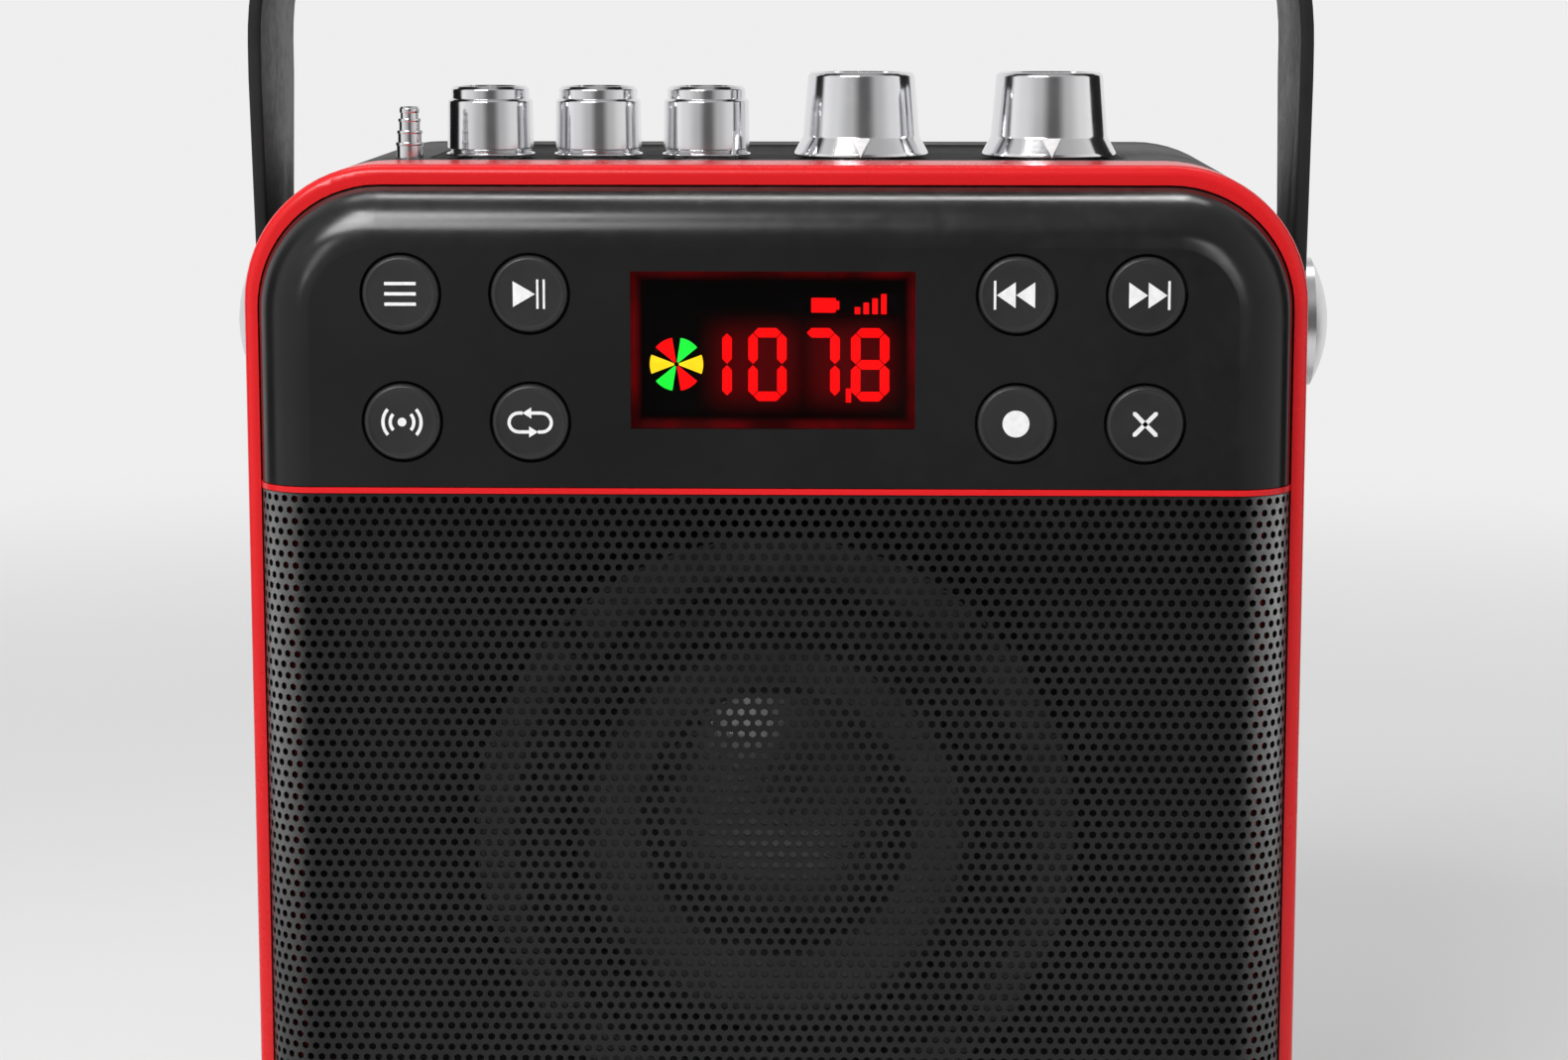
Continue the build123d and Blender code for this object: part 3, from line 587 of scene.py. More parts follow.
def printed_board():
    """Solder mask over copper tracks that run straight, with bends of a right angle."""
    material = finish("printed_board", colour(0.02, 0.16, 0.07), colour(0.01, 0.10, 0.05), 0.3, 0.45)
    tree = material.node_tree
    shader = tree.nodes["Principled BSDF"]
    bricks = add(
        tree,
        "ShaderNodeTexBrick",
        {"Vector": object_place(tree), "Scale": 300.0, "Mortar Size": 0.03},
    )
    mask = shader.inputs["Base Color"].links[0].from_socket
    track = blend(tree, bricks.outputs["Fac"], mask, colour(0.05, 0.28, 0.12))
    feed(tree, shader.inputs["Base Color"], track)
    return material


# Finishes

red_gloss = finish(
    "red_gloss",
    colour(0.72, 0.011, 0.015),
    colour(0.69, 0.010, 0.013),
    0.27,
    0.285,
    tone=25.0,
    Specular_IOR_Level=0.3,
)
piano_black = finish(
    "piano_black", grey(0.0072), grey(0.0056), 0.18, 0.25, tone=20.0, dust=0.02, Specular_IOR_Level=0.28
)
key_black = finish(
    "key_black", grey(0.016), grey(0.013), 0.34, 0.42, tone=160.0, grain=9000.0, depth=0.05
)
print_white = finish(
    "print_white", grey(0.86), grey(0.78), 0.45, 0.6, tone=900.0, grain=8000.0, depth=0.1
)
cabinet_black = finish(
    "cabinet_black",
    grey(0.022),
    grey(0.017),
    0.5,
    0.62,
    grain=1800.0,
    depth=0.25,
    dust=0.03,
    Specular_IOR_Level=0.3,
)
cover_black = finish(
    "cover_black",
    grey(0.029),
    grey(0.023),
    0.54,
    0.66,
    grain=1500.0,
    depth=0.3,
    dust=0.03,
    Specular_IOR_Level=0.3,
)
plate_black = finish(
    "plate_black",
    grey(0.014),
    grey(0.010),
    0.55,
    0.65,
    grain=3500.0,
    depth=0.1,
    dust=0.02,
    Specular_IOR_Level=0.04,
)
grille_paint = finish(
    "grille_paint",
    grey(0.006),
    grey(0.0045),
    0.33,
    0.41,
    tone=60.0,
    grain=5000.0,
    depth=0.15,
    Specular_IOR_Level=0.28,
)
chrome = finish(
    "chrome",
    colour(0.84, 0.84, 0.85),
    colour(0.79, 0.79, 0.81),
    0.10,
    0.16,
    patches=160.0,
    Metallic=1.0,
)
tube_chrome = finish(
    "tube_chrome",
    colour(0.82, 0.82, 0.83),
    colour(0.76, 0.76, 0.78),
    0.10,
    0.18,
    patches=400.0,
    Metallic=1.0,
)
cap_silver = finish(
    "cap_silver",
    colour(0.72, 0.72, 0.73),
    colour(0.68, 0.68, 0.70),
    0.23,
    0.27,
    patches=200.0,
    Metallic=1.0,
)
strap_black = finish(
    "strap_black",
    grey(0.020),
    grey(0.015),
    0.42,
    0.55,
    tone=70.0,
    grain=2600.0,
    depth=0.3,
    dust=0.02,
    Specular_IOR_Level=0.18,
)
foot_rubber = finish("foot_rubber", grey(0.022), grey(0.016), 0.7, 0.85, grain=1500.0, depth=0.4)
smoked_lens = finish(
    "smoked_lens",
    colour(0.90, 0.84, 0.84),
    colour(0.86, 0.80, 0.80),
    0.01,
    0.03,
    Transmission_Weight=1.0,
    IOR=1.1,
)
module_black = finish("module_black", grey(0.02), grey(0.014), 0.5, 0.6, grain=3000.0)
bright_steel = finish(
    "bright_steel",
    colour(0.62, 0.62, 0.61),
    colour(0.52, 0.52, 0.52),
    0.22,
    0.36,
    patches=250.0,
    Metallic=1.0,
)
# A dark steel for the screws behind the sheet. Its darkness is painted shade.
shade_painted_steel = finish(
    "shade_painted_steel", grey(0.05), grey(0.035), 0.35, 0.5, patches=250.0, Metallic=1.0
)
warm_brass = finish(
    "warm_brass",
    colour(0.78, 0.56, 0.24),
    colour(0.66, 0.45, 0.18),
    0.25,
    0.4,
    patches=250.0,
    Metallic=1.0,
)
basket_paint = finish("basket_paint", grey(0.16), grey(0.12), 0.4, 0.55, grain=2500.0)
pressed_pulp = finish(
    "pressed_pulp", grey(0.34), grey(0.26), 0.55, 0.75, tone=250.0, grain=900.0, depth=0.5
)
dome_film = finish("dome_film", grey(0.28), grey(0.22), 0.26, 0.32, tone=120.0, Metallic=1.0)
soft_roll = finish("soft_roll", grey(0.045), grey(0.03), 0.5, 0.65, grain=2000.0)
ferrite_grey = finish("ferrite_grey", grey(0.09), grey(0.06), 0.55, 0.7, grain=1200.0, depth=0.4)
socket_black = finish("socket_black", grey(0.020), grey(0.014), 0.35, 0.5, grain=4000.0)
cell_wrap = finish("cell_wrap", colour(0.03, 0.10, 0.32), colour(0.02, 0.07, 0.25), 0.25, 0.4, tone=90.0)
lit_red = glowing("lit_red", colour(1.0, 0.003, 0.004), colour(0.88, 0.002, 0.002), 1.5)
lit_green = glowing("lit_green", colour(0.02, 0.95, 0.06), colour(0.01, 0.85, 0.04), 1.5)
lit_yellow = glowing("lit_yellow", colour(1.0, 0.72, 0.02), colour(0.95, 0.62, 0.01), 1.5)

finish_of_slot = {
    "red_gloss": red_gloss,
    "black_gloss": piano_black,
    "button_black": key_black,
    "black_satin": cabinet_black,
    "plate_black": plate_black,
    "grille_black": grille_paint,
    "chrome_plate": chrome,
    "antenna_chrome": tube_chrome,
    "cap_silver": cap_silver,
    "strap_black": strap_black,
    "foot_rubber": foot_rubber,
    "lens_dark": smoked_lens,
    "module_black": module_black,
    "board_green": printed_board(),
    "steel": bright_steel,
    "brass": warm_brass,
    "basket_black": basket_paint,
    "cone_paper": pressed_pulp,
    "surround_rubber": soft_roll,
    "ferrite": ferrite_grey,
    "socket_black": socket_black,
    "cell_wrap": cell_wrap,
}
for node, shape in nodes.items():
    shape.material_slots[0].material = finish_of_slot[slot_of[node]]
nodes["display_module"].material_slots[0].material = display_ground()
# The screws behind the sheet take a dark steel as painted shade, so that they stay dark through the
# holes.
nodes["inner_screws"].material_slots[0].material = shade_painted_steel


# Perforated sheet


def perforated_cell(bm, column, level):
    """A cell of the sheet with a six-sided hole."""
    half_u, half_v = hole_pitch / 2, hole_row_pitch / 2
    rim = [(0, 1), (1, 1), (1, -1), (0, -1), (-1, -1), (-1, 1)]
    outer = [bm.verts.new((column + u * half_u, 0, level + v * half_v)) for u, v in rim]
    spot = Matrix.Translation((column, 0, level)) @ Matrix.Rotation(math.pi / 2, 4, "X")
    hole = bmesh.ops.create_circle(bm, segments=6, radius=hole_radius, matrix=spot)["verts"]
    loops = [bm.edges.new(pair) for pair in zip(outer, outer[1:] + outer[:1])]
    bmesh.ops.bridge_loops(bm, edges=loops + edges_of(hole))


def repeat(bm, step, count):
    """Repeats the whole mesh at even steps, at least as often as asked, by doubling it."""
    made = 1
    while made < count:
        copy = bmesh.ops.duplicate(bm, geom=[*bm.verts, *bm.edges, *bm.faces])["geom"]
        fresh = [item for item in copy if isinstance(item, bmesh.types.BMVert)]
        bmesh.ops.translate(bm, verts=fresh, vec=step * made)
        made *= 2


def nearest_core(point, core):
    """The nearest point of the flat core that the sheet's corners are struck from."""
    return Vector((max(-core.x, min(core.x, point.x)), 0, max(core.z, point.z)))


def wrapped(point, core, straight, front):
    """Lays a point of the flat sheet on the bulging front, whose sides and lower edge bend back."""
    nearest = nearest_core(point, core)
    away = Vector((point.x, 0, point.z)) - nearest
    past = away.length - straight
    if past <= 0:
        return Vector((point.x, front, point.z))
    angle = min(past / sheet_bend, math.pi / 2)
    reach = straight + sheet_bend * math.sin(angle)
    depth = sheet_bend * (1 - math.cos(angle)) + max(0.0, past - sheet_bend * math.pi / 2)
    return nearest + away.normalized() * reach + inwards * (front + depth)


def perforated_sheet():
    """The whole sheet with its staggered holes, bent to shape but still without thickness."""
    low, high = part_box("speaker_grille")
    straight = sheet_corner - sheet_bend
    core = Vector((high.x - sheet_corner, 0, low.z + sheet_corner))
    half_columns = math.ceil((core.x + straight + sheet_tuck) / hole_pitch) + 1
    rows = math.ceil((high.z - core.z + straight + sheet_tuck) / hole_row_pitch)
    bm = bmesh.new()
    first_level = high.z - hole_row_pitch / 2
    for row, shift in ((0, -hole_pitch / 4), (1, hole_pitch / 4)):
        perforated_cell(bm, shift - half_columns * hole_pitch, first_level - row * hole_row_pitch)
    repeat(bm, across * hole_pitch, 2 * half_columns + 1)
    repeat(bm, -up * hole_row_pitch * 2, math.ceil(rows / 2))
    clean(bm)
    if sum(face.normal.y for face in bm.faces) > 0:
        bmesh.ops.reverse_faces(bm, faces=bm.faces)
    outside = []
    for face in bm.faces:
        spot = face.calc_center_median()
        if (spot - nearest_core(spot, core)).length > straight + sheet_tuck:
            outside.append(face)
    bmesh.ops.delete(bm, geom=outside, context="FACES")
    for vert in bm.verts:
        vert.co = wrapped(vert.co, core, straight, low.y)
    return bm


def speaker_grille():
    """The sheet in two halves, so that neither has too many faces."""
    sheet = perforated_sheet()
    halves = []
    for side, name in ((-1, "left"), (1, "right")):
        bm = sheet.copy()
        other = [face for face in bm.faces if face.calc_center_median().x * side < 0]
        bmesh.ops.delete(bm, geom=other, context="FACES")
        bmesh.ops.solidify(bm, geom=bm.faces[:], thickness=sheet_thickness)
        half = finish_piece(
            f"grille_{name}", bm, grille_paint, "speaker_grille", stands_for=["speaker_grille"]
        )
        halves.append(half)
    sheet.free()
    return halves


grille_halves = speaker_grille()


# Push buttons and their signs


def button_cap(node):
    """A dished cap on a wider flange, with a stem behind it."""
    flange = half_width(node)
    back = cap_depth + flange_depth
    stem_end = depth_of(node)
    bm = bmesh.new()
    turn(
        bm,
        [
            (0, button_dish),
            (button_radius - 2 * button_round, button_dish),
            (button_radius - button_round, 0),
            (button_radius, button_round),
            (button_radius, cap_depth),
            (flange, cap_depth),
            (flange, back),
            (stem_radius, back),
            (stem_radius, stem_end),
            (0, stem_end),
        ],
        front_middle(node),
        inwards,
    )
    round_edges(bm, button_edge, angle=10)
    finish_piece(f"{node}_cap", bm, key_black, node, stands_for=[node])


def menu_sign(bm, place):
    line_pitch, line_length = 1.75 * mm, 5.4 * mm
    for line in (-1, 0, 1):
        bar(bm, place, 0, line * line_pitch, line_length, stroke)


def play_sign(bm, place):
    tip, length = 1.05 * mm, 3.8 * mm
    bar_width, bar_height = 0.38 * mm, 5.0 * mm
    arrow(bm, place, tip, 0, length, triangle_height)
    for u in (1.45 * mm, 2.55 * mm):
        bar(bm, place, u, 0, bar_width, bar_height)


def skip_sign(bm, place, way):
    """Two triangles that point to a bar, on the right for a way of 1 and on the left for -1."""
    length, bar_place = 3.2 * mm, 3.75 * mm
    bar_width, bar_height = 0.42 * mm, 4.9 * mm
    for tip in (0.15 * mm, 3.45 * mm):
        arrow(bm, place, way * tip, 0, way * length, triangle_height)
    bar(bm, place, way * bar_place, 0, bar_width, bar_height)


def previous_sign(bm, place):
    skip_sign(bm, place, -1)


def next_sign(bm, place):
    skip_sign(bm, place, 1)


def wave_sign(bm, place):
    """A mast that sends out waves to both sides."""
    mast_radius, sweep = 0.75 * mm, 84
    dot(bm, place, 0, 0, mast_radius)
    for radius in (1.75 * mm, 3.0 * mm):
        for heading in (0, 180):
            arc_band(bm, place, 0, 0, radius, radius + stroke, heading - sweep / 2, sweep)


def repeat_sign(bm, place):
    """Two arrows that chase each other round a long loop."""
    half, radius = 2.0 * mm, 1.35 * mm
    tip, tail, slit = -1.3 * mm, 0.2 * mm, 0.02 * mm
    head_height, stub = 1.9 * mm, 0.7 * mm
    for way in (-1, 1):
        arc_band(bm, place, way * half, 0, radius, radius + stroke, -90 * way, 180)
        level = way * (radius + stroke / 2)
        arrow(bm, place, way * tip, level, way * (tip - tail), head_height)
        for start, height in ((tail + slit, level), (half - stub, -level)):
            end = half - slit
            bar(bm, place, way * (start + end) / 2, height, end - start, stroke)


def record_sign(bm, place):
    radius = 2.3 * mm
    dot(bm, place, 0, 0, radius)


def cross_sign(bm, place):
    reach, width = 2.1 * mm, 0.75 * mm
    for way in (-1, 1):
        stick(bm, place, (-reach, -reach * way), (reach, reach * way), width)


def button_sign(node, draw):
    """A printed sign, drawn inside the cap and brought out almost to its foremost edge."""
    bm = bmesh.new()
    draw(bm, front_middle(node) + inwards * print_depth)
    thicken(bm, -inwards * (print_depth - print_setback))
    finish_piece(f"{node}_sign", bm, print_white, node)


button_signs = {
    "mode_button": menu_sign,
    "play_button": play_sign,
    "previous_button": previous_sign,
    "next_button": next_sign,
    "radio_button": wave_sign,
    "repeat_button": repeat_sign,
    "record_button": record_sign,
    "delete_button": cross_sign,
}
for node, draw in button_signs.items():
    button_cap(node)
    button_sign(node, draw)


# Lit read-out

lit_strokes = {"0": "abcdef", "1": "bc", "7": "abc", "8": "abcdefg"}


def digit(bm, place, left, shown):
    """A digit of seven strokes, with its left edge at a place across."""
    inset = digit_stroke / 2
    right = left + digit_width - inset
    left = left + inset
    base = digit_low + inset
    top = digit_low + digit_height - inset
    waist = (base + top) / 2
    ends = {
        "a": ((left, top), (right, top)),
        "b": ((right, waist), (right, top)),
        "c": ((right, base), (right, waist)),
        "d": ((left, base), (right, base)),
        "e": ((left, base), (left, waist)),
        "f": ((left, waist), (left, top)),
        "g": ((left, waist), (right, waist)),
    }
    for name in lit_strokes[shown]:
        start, end = (Vector(point) for point in ends[name])
        run = (end - start).normalized() * digit_gap
        stick(bm, place, start + run, end - run, digit_stroke)


def petal(bm, place, angle):
    u, v = fan_place
    arc_band(bm, place, u, v, fan_hub, fan_radius, angle - petal_angle / 2, petal_angle, steps=6)


def signal_bars(bm, place):
    """Four bars that grow from left to right."""
    first, pitch, width = 14.4 * mm, 1.5 * mm, 0.95 * mm
    lowest, growth = 1.2 * mm, 0.75 * mm
    for step in range(4):
        height = lowest + growth * step
        bar(bm, place, first + pitch * step, signal_foot + height / 2, width, height)


def battery(bm, place):
    """A full cell with its end contact."""
    cell, cell_width, cell_height = 8.6 * mm, 4.2 * mm, 2.5 * mm
    contact, contact_width, contact_height = 11.0 * mm, 0.6 * mm, 1.5 * mm
    bar(bm, place, cell, status_level, cell_width, cell_height)
    bar(bm, place, contact, status_level, contact_width, contact_height)


def decimal_point(bm, place):
    point_place, point_level = 12.9 * mm, digit_low + 1.0 * mm
    width, height = 0.9 * mm, 2.4 * mm
    bar(bm, place, point_place, point_level, width, height)


def read_out():
    """Four digits with their point, a battery, signal bars and a fan of six petals."""
    place = front_middle("display_module") - inwards * glow_lift / 4
    red, green, yellow = bmesh.new(), bmesh.new(), bmesh.new()
    for left, shown in digits_shown:
        digit(red, place, left, shown)
    decimal_point(red, place)
    battery(red, place)
    signal_bars(red, place)
    petals = (yellow, green, red, yellow, green, red)
    for turn_by, drawing in enumerate(petals):
        petal(drawing, place, turn_by * 360 / len(petals))
    for name, drawing, material in (
        ("red", red, lit_red),
        ("green", green, lit_green),
        ("yellow", yellow, lit_yellow),
    ):
        thicken(drawing, -inwards * glow_lift)
        finish_piece(f"read_out_{name}", drawing, material, "display_module")


read_out()


# Knobs


def knob_base(node):
    """The point on a knob's axis at its lowest level, and its height."""
    low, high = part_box(node)
    shaft = middle(node.replace("knob", "shaft"))
    return Vector((shaft.x, shaft.y, low.z)), high.z - low.z


def turned_knob(node, side, crown, edge, rim):
    """A chrome knob: the well under it, its side from the skirt up, and its sunken face."""
    base, height = knob_base(node)
    outline = [
        (0, well_height),
        (well_radius, well_height),
        (well_radius, 0),
        (half_width(node), 0),
        *side,
        (crown, height - edge),
        (crown - edge, height),
        (crown - rim, height),
        (crown - rim - face_slope, height - face_sink),
        (0, height - face_sink),
    ]
    bm = bmesh.new()
    turn(bm, outline, base, up)
    round_edges(bm, knob_round, angle=15, segments=4)
    finish_piece(f"{node}_turned", bm, chrome, node, sharp=7, stands_for=[node])


def small_knob(node, tick_turn):
    """A straight knob on a thin flange, with a smaller crown and one white tick."""
    side = [
        (half_width(node), small_flange_height),
        (small_neck, small_neck_low),
        (small_neck, small_neck_high),
        (small_body, small_body_low),
        (small_body - small_taper, small_shoulder - small_shoulder_drop),
        (small_body - small_shoulder_step, small_shoulder),
        (small_crown, small_shoulder),
    ]
    turned_knob(node, side, small_crown, small_crown_edge, small_rim)
    base = knob_base(node)[0]
    tick = bmesh.new()
    face = base - inwards * (small_body + tick_proud)
    bar(tick, face + up * tick_low, 0, tick_height / 2, tick_width, tick_height)
    thicken(tick, inwards * tick_depth)
    bmesh.ops.rotate(
        tick, verts=tick.verts, cent=base, matrix=Matrix.Rotation(math.radians(tick_turn), 3, "Z")
    )
    finish_piece(f"{node}_tick", tick, print_white, node)


def large_knob(node):
    """A tapered knob on a flared skirt, with a white pointer nib whose white also stands for a painted
    highlight on the skirt's front.
    """
    side = [(half_width(node), large_skirt_edge), (large_low, large_skirt_height)]
    turned_knob(node, side, large_high, large_crown_edge, large_rim)
    base = knob_base(node)[0]
    # The nib is a pointer, and its white is partly a painted highlight: the bright patch on the front of
    # the skirt.
    nib_and_highlight = bmesh.new()
    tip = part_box(node)[0].y - base.y
    top = large_skirt_height - pointer_thickness
    corners = [(-pointer_half, -large_low, top), (0, tip, 0), (pointer_half, -large_low, top)]
    nib_and_highlight.faces.new([nib_and_highlight.verts.new(base + Vector(corner)) for corner in corners])
    thicken(nib_and_highlight, up * pointer_thickness)
    round_edges(nib_and_highlight, pointer_round)
    finish_piece(f"{node}_pointer", nib_and_highlight, print_white, node)


for name, tick_turn in (("left", 160), ("middle", 205), ("right", 42)):
    small_knob(f"small_knob_{name}", tick_turn)
for name in ("left", "right"):
    large_knob(f"large_knob_{name}")


# Antenna


def ferrule(node):
    """The crimped collar at the mouth of a tube."""
    inner = half_width(node) - ferrule_seat
    outer = half_width(node) + ferrule_rise
    section = [
        (inner, -ferrule_height),
        (outer, -ferrule_height),
        (outer, 0),
        (inner, 0),
        (inner, -ferrule_height),
    ]
    bm = bmesh.new()
    turn(bm, section, top_middle(node), up, steps=antenna_steps)
    round_edges(bm, ferrule_round)
    finish_piece(f"{node}_ferrule", bm, tube_chrome, node)


def antenna_button():
    """The thicker end by which the tip is pulled out."""
    radius = half_width("antenna_tip")
    outline = [
        (0, -2 * ferrule_height),
        (radius + ferrule_rise, -2 * ferrule_height),
        (radius + ferrule_rise, -tip_edge),
        (radius - tip_slope, 0),
        (0, 0),
    ]
    button = bmesh.new()
    turn(button, outline, top_middle("antenna_tip"), up, steps=antenna_steps)
    round_edges(button, tip_round)
    finish_piece("antenna_button", button, tube_chrome, "antenna_tip")


for node in ("antenna_base", "antenna_lower", "antenna_middle"):
    ferrule(node)
antenna_button()


# Loudspeaker behind the sheet


def sheet_outline(front, thickness):
    """A thin turned wall: its front outline and the same outline set back."""
    back = [(radius, depth + thickness) for radius, depth in reversed(front)]
    return [*front, *back]


def ring_outline(front, thickness):
    """The same for a wall that is open in the middle, so that its outline closes on itself."""
    return [*sheet_outline(front, thickness), front[0]]


def flared_cone():
    """The cone, which bows a little from its lip to its neck."""
    lip = half_width("speaker_cone")
    neck = half_width("speaker_voice_coil")
    depth = depth_of("speaker_cone") - cone_sheet
    cone = bmesh.new()
    flare = [(lip + (neck - lip) * share, depth * share**cone_bow) for share in curve]
    turn(cone, ring_outline(flare, cone_sheet), front_middle("speaker_cone"), inwards)
    finish_piece("cone_flared", cone, pressed_pulp, "speaker_cone", stands_for=["speaker_cone"])


def half_roll():
    """The surround: a half roll between two flat lips."""
    seat = middle("speaker_surround")
    seat.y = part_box("speaker_surround")[1].y - roll_sheet
    outer = half_width("speaker_surround")
    crest = outer - roll_lip - roll_radius
    arc = [
        (crest + roll_radius * math.cos(math.pi * share), -roll_radius * math.sin(math.pi * share))
        for share in curve
    ]
    surround = bmesh.new()
    profile = [(outer, 0), *arc, (crest - roll_radius - roll_lip, 0)]
    turn(surround, ring_outline(profile, roll_sheet), seat, inwards)
    finish_piece(
        "surround_roll", surround, soft_roll, "speaker_surround", stands_for=["speaker_surround"]
    )


def dust_dome():
    """The shallow dome over the cone's neck."""
    radius = half_width("speaker_dust_cap")
    rise = depth_of("speaker_dust_cap") - cap_sheet
    dome = bmesh.new()
    bow = [(radius * share, rise * share**2) for share in curve]
    turn(dome, sheet_outline(bow, cap_sheet), front_middle("speaker_dust_cap"), inwards)
    finish_piece("dust_dome", dome, dome_film, "speaker_dust_cap", stands_for=["speaker_dust_cap"])


flared_cone()
half_roll()
dust_dome()


# Moulded shells


def on_seam(edge, level, centre, reach):
    """Whether an edge runs along the outside of the parting line between the shells."""
    if not edge.is_manifold or any(abs(vert.co.y - level) > mm / 100 for vert in edge.verts):
        return False
    spot = (edge.verts[0].co + edge.verts[1].co) / 2 - centre
    walls = [face for face in edge.link_faces if abs(face.normal.y) < wall_slant]
    return any(wall.normal.dot(spot) > reach for wall in walls)


def shell(node, name, material):
    """A moulded shell, with the outside of its parting line eased to a fine groove."""
    centre = middle("rear_cover")
    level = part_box("cabinet")[1].y
    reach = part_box("rear_cover")[1].x - mm
    bm = joined_copy(node, mm / 1000, flatness=0.1)
    seam = [edge for edge in bm.edges if on_seam(edge, level, centre, reach)]
    round_off(bm, seam, seam_round, segments=2, clamp=False)
    piece = finish_piece(name, bm, material, node, stands_for=[node])
    piece.modifiers.new("even_shading", "WEIGHTED_NORMAL").keep_sharp = True


shell("cabinet", "cabinet_shell", cabinet_black)
shell("rear_cover", "cover_shell", cover_black)


# Handle


def handle_strap():
    """The bent band, with its edges rounded."""
    bm = joined_copy("handle_strap", mm / 100, flatness=1)
    round_edges(bm, strap_round, angle=45, segments=3)
    finish_piece("strap_band", bm, strap_black, "handle_strap", stands_for=["handle_strap"])


handle_strap()


# Screws in the back


def ring_step(bm, rim, top, radius, depth):
    """Carries a round rim on to another radius and depth, and returns the new rim."""
    made = bmesh.ops.extrude_edge_only(bm, edges=rim)["geom"]
    fresh = [item for item in made if isinstance(item, bmesh.types.BMVert)]
    for vert in fresh:
        away = vert.co - top
        away.y = 0
        vert.co = top + away.normalized() * radius - inwards * depth
    return [item for item in made if isinstance(item, bmesh.types.BMEdge) and item.is_boundary]


def cross_screw(bm, seat):
    """A pan head with a cross recess, on a shank that runs to the front."""
    facing = Matrix.Rotation(-math.pi / 2, 4, "X")
    top = seat + inwards * screw_rise
    circle = bmesh.ops.create_circle(
        bm, segments=24, radius=screw_crown, matrix=Matrix.Translation(top) @ facing
    )["verts"]
    rim = edges_of(circle)
    corner = [(recess_arm, -recess_half), (recess_arm, recess_half), (recess_half, recess_half)]
    quarter = [Matrix.Rotation(turn_by * math.pi / 2, 2) for turn_by in range(4)]
    points = [rotation @ Vector(point) for rotation in quarter for point in corner]
    cross = [bm.verts.new(top + across * point.x + up * point.y) for point in points]
    edges = [bm.edges.new(pair) for pair in zip(cross, cross[1:] + cross[:1])]
    bmesh.ops.bridge_loops(bm, edges=rim + edges)
    walls = bmesh.ops.extrude_edge_only(bm, edges=edges)["geom"]
    floor = [item for item in walls if isinstance(item, bmesh.types.BMVert)]
    bmesh.ops.translate(bm, verts=floor, vec=-inwards * recess_depth)
    bmesh.ops.contextual_create(
        bm, geom=[item for item in walls if isinstance(item, bmesh.types.BMEdge) and item.is_boundary]
    )
    for radius, depth in (
        *screw_curve,
        (screw_head, screw_rise),
        (screw_shank, screw_rise),
        (screw_shank, screw_rise + screw_reach),
    ):
        rim = ring_step(bm, rim, top, radius, depth)
    bmesh.ops.contextual_create(bm, geom=rim)


def rear_screws():
    """Six screws, three down each side of the rear cover."""
    low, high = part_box("rear_cover")
    bm = bmesh.new()
    levels = (low.z + screw_inset, (low.z + high.z) / 2, high.z - screw_inset)
    for side in (-1, 1):
        for level in levels:
            place = Vector((side * (high.x - screw_inset), low.y + screw_seat, level))
            cross_screw(bm, place)
    clean(bm)
    finish_piece("rear_cross_screws", bm, bright_steel, "rear_screws", stands_for=["rear_screws"])


rear_screws()


# Floor, light and camera

field_shift = 0.12
field_tones = [
    (0.03, 0.12),
    (0.16, 0.5),
    (0.34, 0.78),
    (0.5, 0.95),
    (0.55, 0.03),
    (0.65, 0.03),
    (0.7, pale),
]
field_overhead = 0.45


def fields_group():
    """Broad light and dark fields round the object for bright metal to mirror, and pale behind it."""
    tree, given, out = new_group(
        "studio_fields", {"Direction": (0.0, 0.0, 1.0)}, {"Color": "NodeSocketColor"}
    )
    spot = add(tree, "ShaderNodeSeparateXYZ")
    feed(tree, spot.inputs[0], given["Direction"])
    towards = sums(tree, "MULTIPLY", spot.outputs["Y"], -1.0)
    heading = sums(tree, "ARCTAN2", spot.outputs["X"], towards)
    shifted = sums(tree, "ABSOLUTE", sums(tree, "SUBTRACT", heading, field_shift))
    fields = add(tree, "ShaderNodeValToRGB", {"Fac": sums(tree, "DIVIDE", shifted, math.pi)})
    tones = fields.color_ramp
    tones.interpolation = "EASE"
    for place, value in field_tones:
        tones.elements.new(place).color = grey(value)
    tones.elements[0].color = grey(field_tones[0][1])
    tones.elements[-1].color = grey(pale)
    overhead = ramp(tree, spot.outputs["Z"], 0.35, 0.85)
    feed(tree, out["Color"], blend(tree, overhead, fields.outputs["Color"], grey(field_overhead)))
    return tree


studio_fields = fields_group()


def seen_ray(tree):
    """One for what is seen straight, in a mirror or through glass."""
    path = add(tree, "ShaderNodeLightPath").outputs
    mirrored = sums(tree, "MAXIMUM", path["Is Glossy Ray"], path["Is Transmission Ray"])
    return sums(tree, "MAXIMUM", path["Is Camera Ray"], mirrored)


def pale_floor():
    """Pale paint that keeps shadows near the object and grows evenly bright far away from it."""
    material = finish("pale_floor", grey(0.80), grey(0.77), 0.75, 0.85, tone=0.6)
    tree = material.node_tree
    shader = tree.nodes["Principled BSDF"]
    away = add(tree, "ShaderNodeVectorMath", operation="LENGTH")
    feed(tree, away.inputs[0], object_place(tree))
    far = sums(tree, "MULTIPLY", ramp(tree, away.outputs["Value"], 0.25, 1.1), seen_ray(tree))
    room = place_group(tree, studio_fields, Direction=object_place(tree))
    seen = add(tree, "ShaderNodeLightPath").outputs["Is Camera Ray"]
    glow = add(tree, "ShaderNodeEmission", {"Color": blend(tree, seen, room, grey(pale))})
    joined = add(tree, "ShaderNodeMixShader", {"Fac": far})
    feed(tree, joined.inputs[1], shader.outputs["BSDF"])
    feed(tree, joined.inputs[2], glow.outputs["Emission"])
    feed(tree, tree.nodes["Material Output"].inputs["Surface"], joined.outputs["Shader"])
    return material


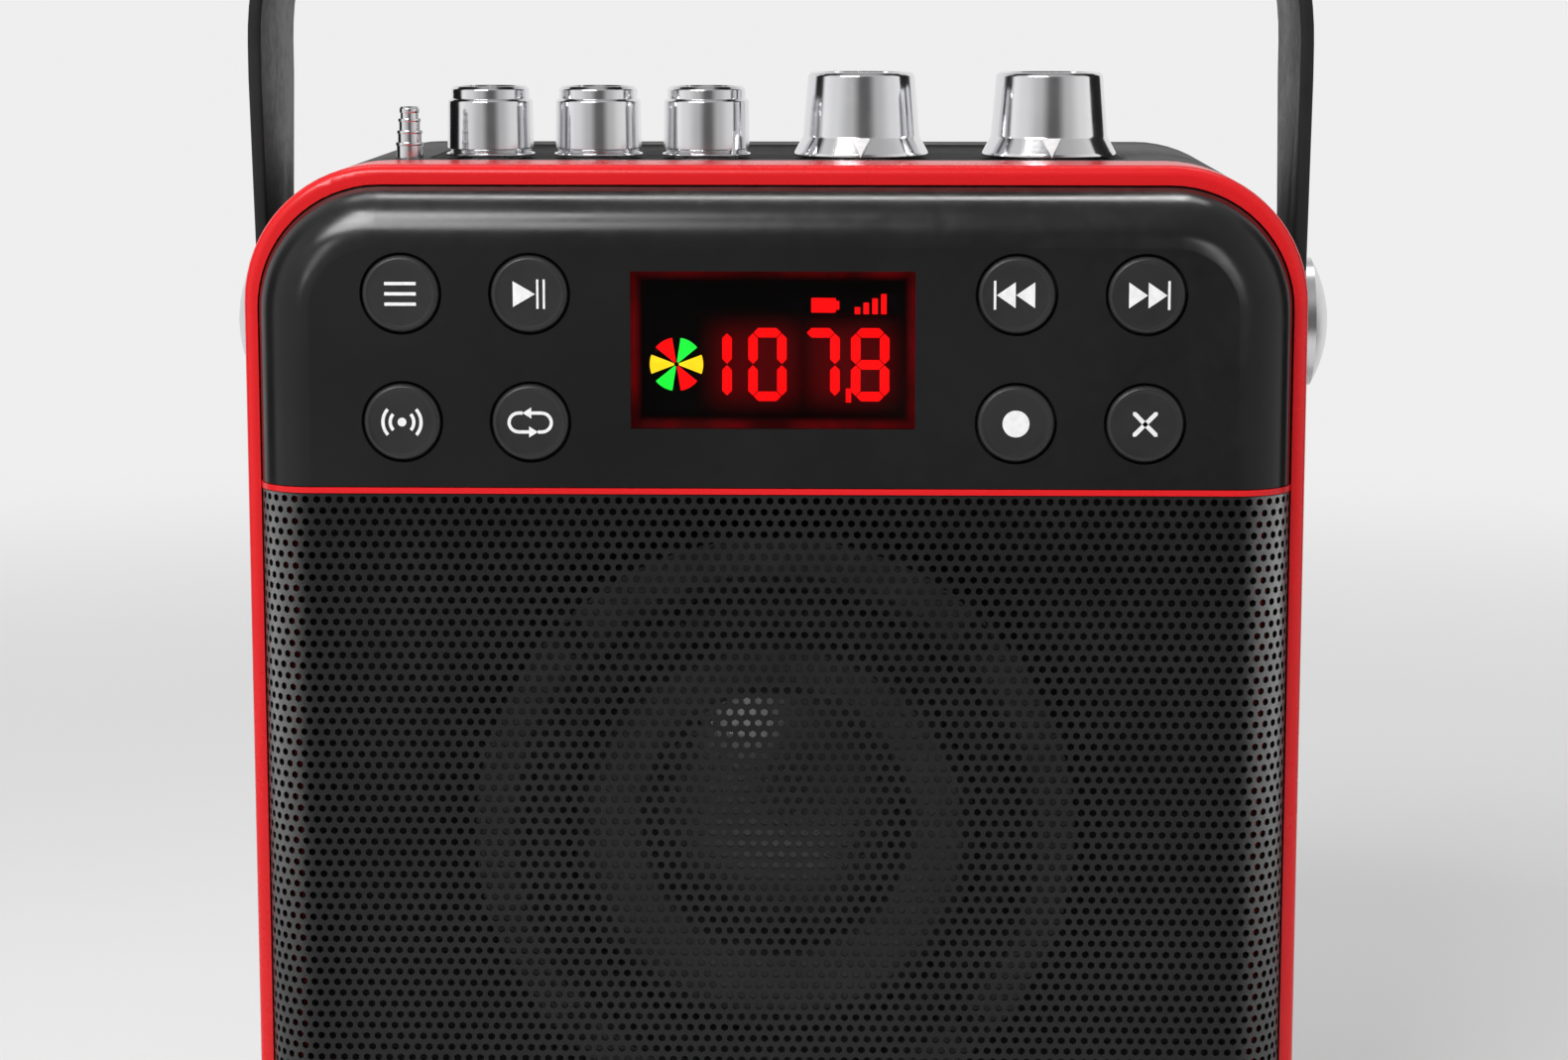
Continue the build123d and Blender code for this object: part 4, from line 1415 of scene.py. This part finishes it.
def floor():
    bm = bmesh.new()
    bmesh.ops.create_grid(bm, x_segments=2, y_segments=2, size=floor_half)
    mesh = bpy.data.meshes.new("floor")
    bm.to_mesh(mesh)
    bm.free()
    mesh.materials.append(pale_floor())
    ground = bpy.data.objects.new("floor", mesh)
    bpy.context.scene.collection.objects.link(ground)


def softbox(name, place, target, size, power, only=(), spread=180):
    """A soft lamp. It lights everything, or only the pieces that are given. A grid narrows its spread."""
    light = bpy.data.lights.new(name, "AREA")
    light.shape = "RECTANGLE"
    light.size, light.size_y = size
    light.energy = power
    light.spread = math.radians(spread)
    lamp = bpy.data.objects.new(name, light)
    lamp.location = place
    lamp.rotation_euler = (Vector(target) - Vector(place)).to_track_quat("-Z", "Y").to_euler()
    lamp.visible_camera = False
    bpy.context.scene.collection.objects.link(lamp)
    if only:
        lit = bpy.data.collections.new(f"{name}_lit")
        for piece in only:
            lit.objects.link(piece)
        lamp.light_linking.receiver_collection = lit


def studio_world():
    """Pale to the camera. All else is lit by, and mirrors, the fields of the studio."""
    world = bpy.data.worlds.new("studio")
    bpy.context.scene.world = world
    world.use_nodes = True
    tree = world.node_tree
    heading = add(tree, "ShaderNodeTexCoord").outputs["Generated"]
    room = place_group(tree, studio_fields, Direction=heading)
    seen = add(tree, "ShaderNodeLightPath").outputs["Is Camera Ray"]
    sky = tree.nodes["Background"]
    feed(tree, sky.inputs["Color"], blend(tree, seen, room, grey(pale)))
    feed(tree, sky.inputs["Strength"], 1.0)


def camera():
    """Seen from a little above and to the right, with the photo's field of view."""
    lens = bpy.data.cameras.new("camera")
    lens.sensor_fit = "HORIZONTAL"
    lens.sensor_width = sensor_width
    lens.lens = focal_length
    lens.clip_start = 10 * mm
    view = bpy.data.objects.new("camera", lens)
    view.location = camera_place
    view.rotation_euler = (math.radians(90 - camera_dip), 0, math.radians(camera_turn))
    bpy.context.scene.collection.objects.link(view)
    bpy.context.scene.camera = view


floor()
front = (0, -0.05, 0.15)
softbox("front_softbox", (-0.34, -0.66, 0.76), front, size=(0.56, 0.22), power=1.8, spread=90)
softbox("top_softbox", (0.0, 0.23, 0.95), (0, 0, 0.2), size=(0.8, 0.2), power=2.4)
gloss_panel = [nodes["front_panel"]]
for name, place, size, power in (
    ("left_corner_strip", (-0.35, -0.57, 0.32), (0.08, 0.22), 0.36),
    ("right_corner_strip", (0.24, -0.63, 0.28), (0.10, 0.20), 0.40),
    ("brow_strip", (-0.288, -0.492, 0.927), (0.34, 0.30), 7.8),
    ("ridge_strip", (0.04, 0.29, 0.95), (0.42, 0.34), 6.8),
):
    softbox(name, place, front, size, power, only=gloss_panel)
for name, side, power in (("left_low_strip", -1, 1.5), ("right_low_strip", 1, 1.7)):
    place, target = (side * 0.44, -0.12, 0.06), (side * 0.085, -0.05, 0.07)
    softbox(name, place, target, size=(0.6, 0.12), power=power, only=grille_halves)
studio_world()
camera()
bpy.context.scene.view_settings.view_transform = "Standard"
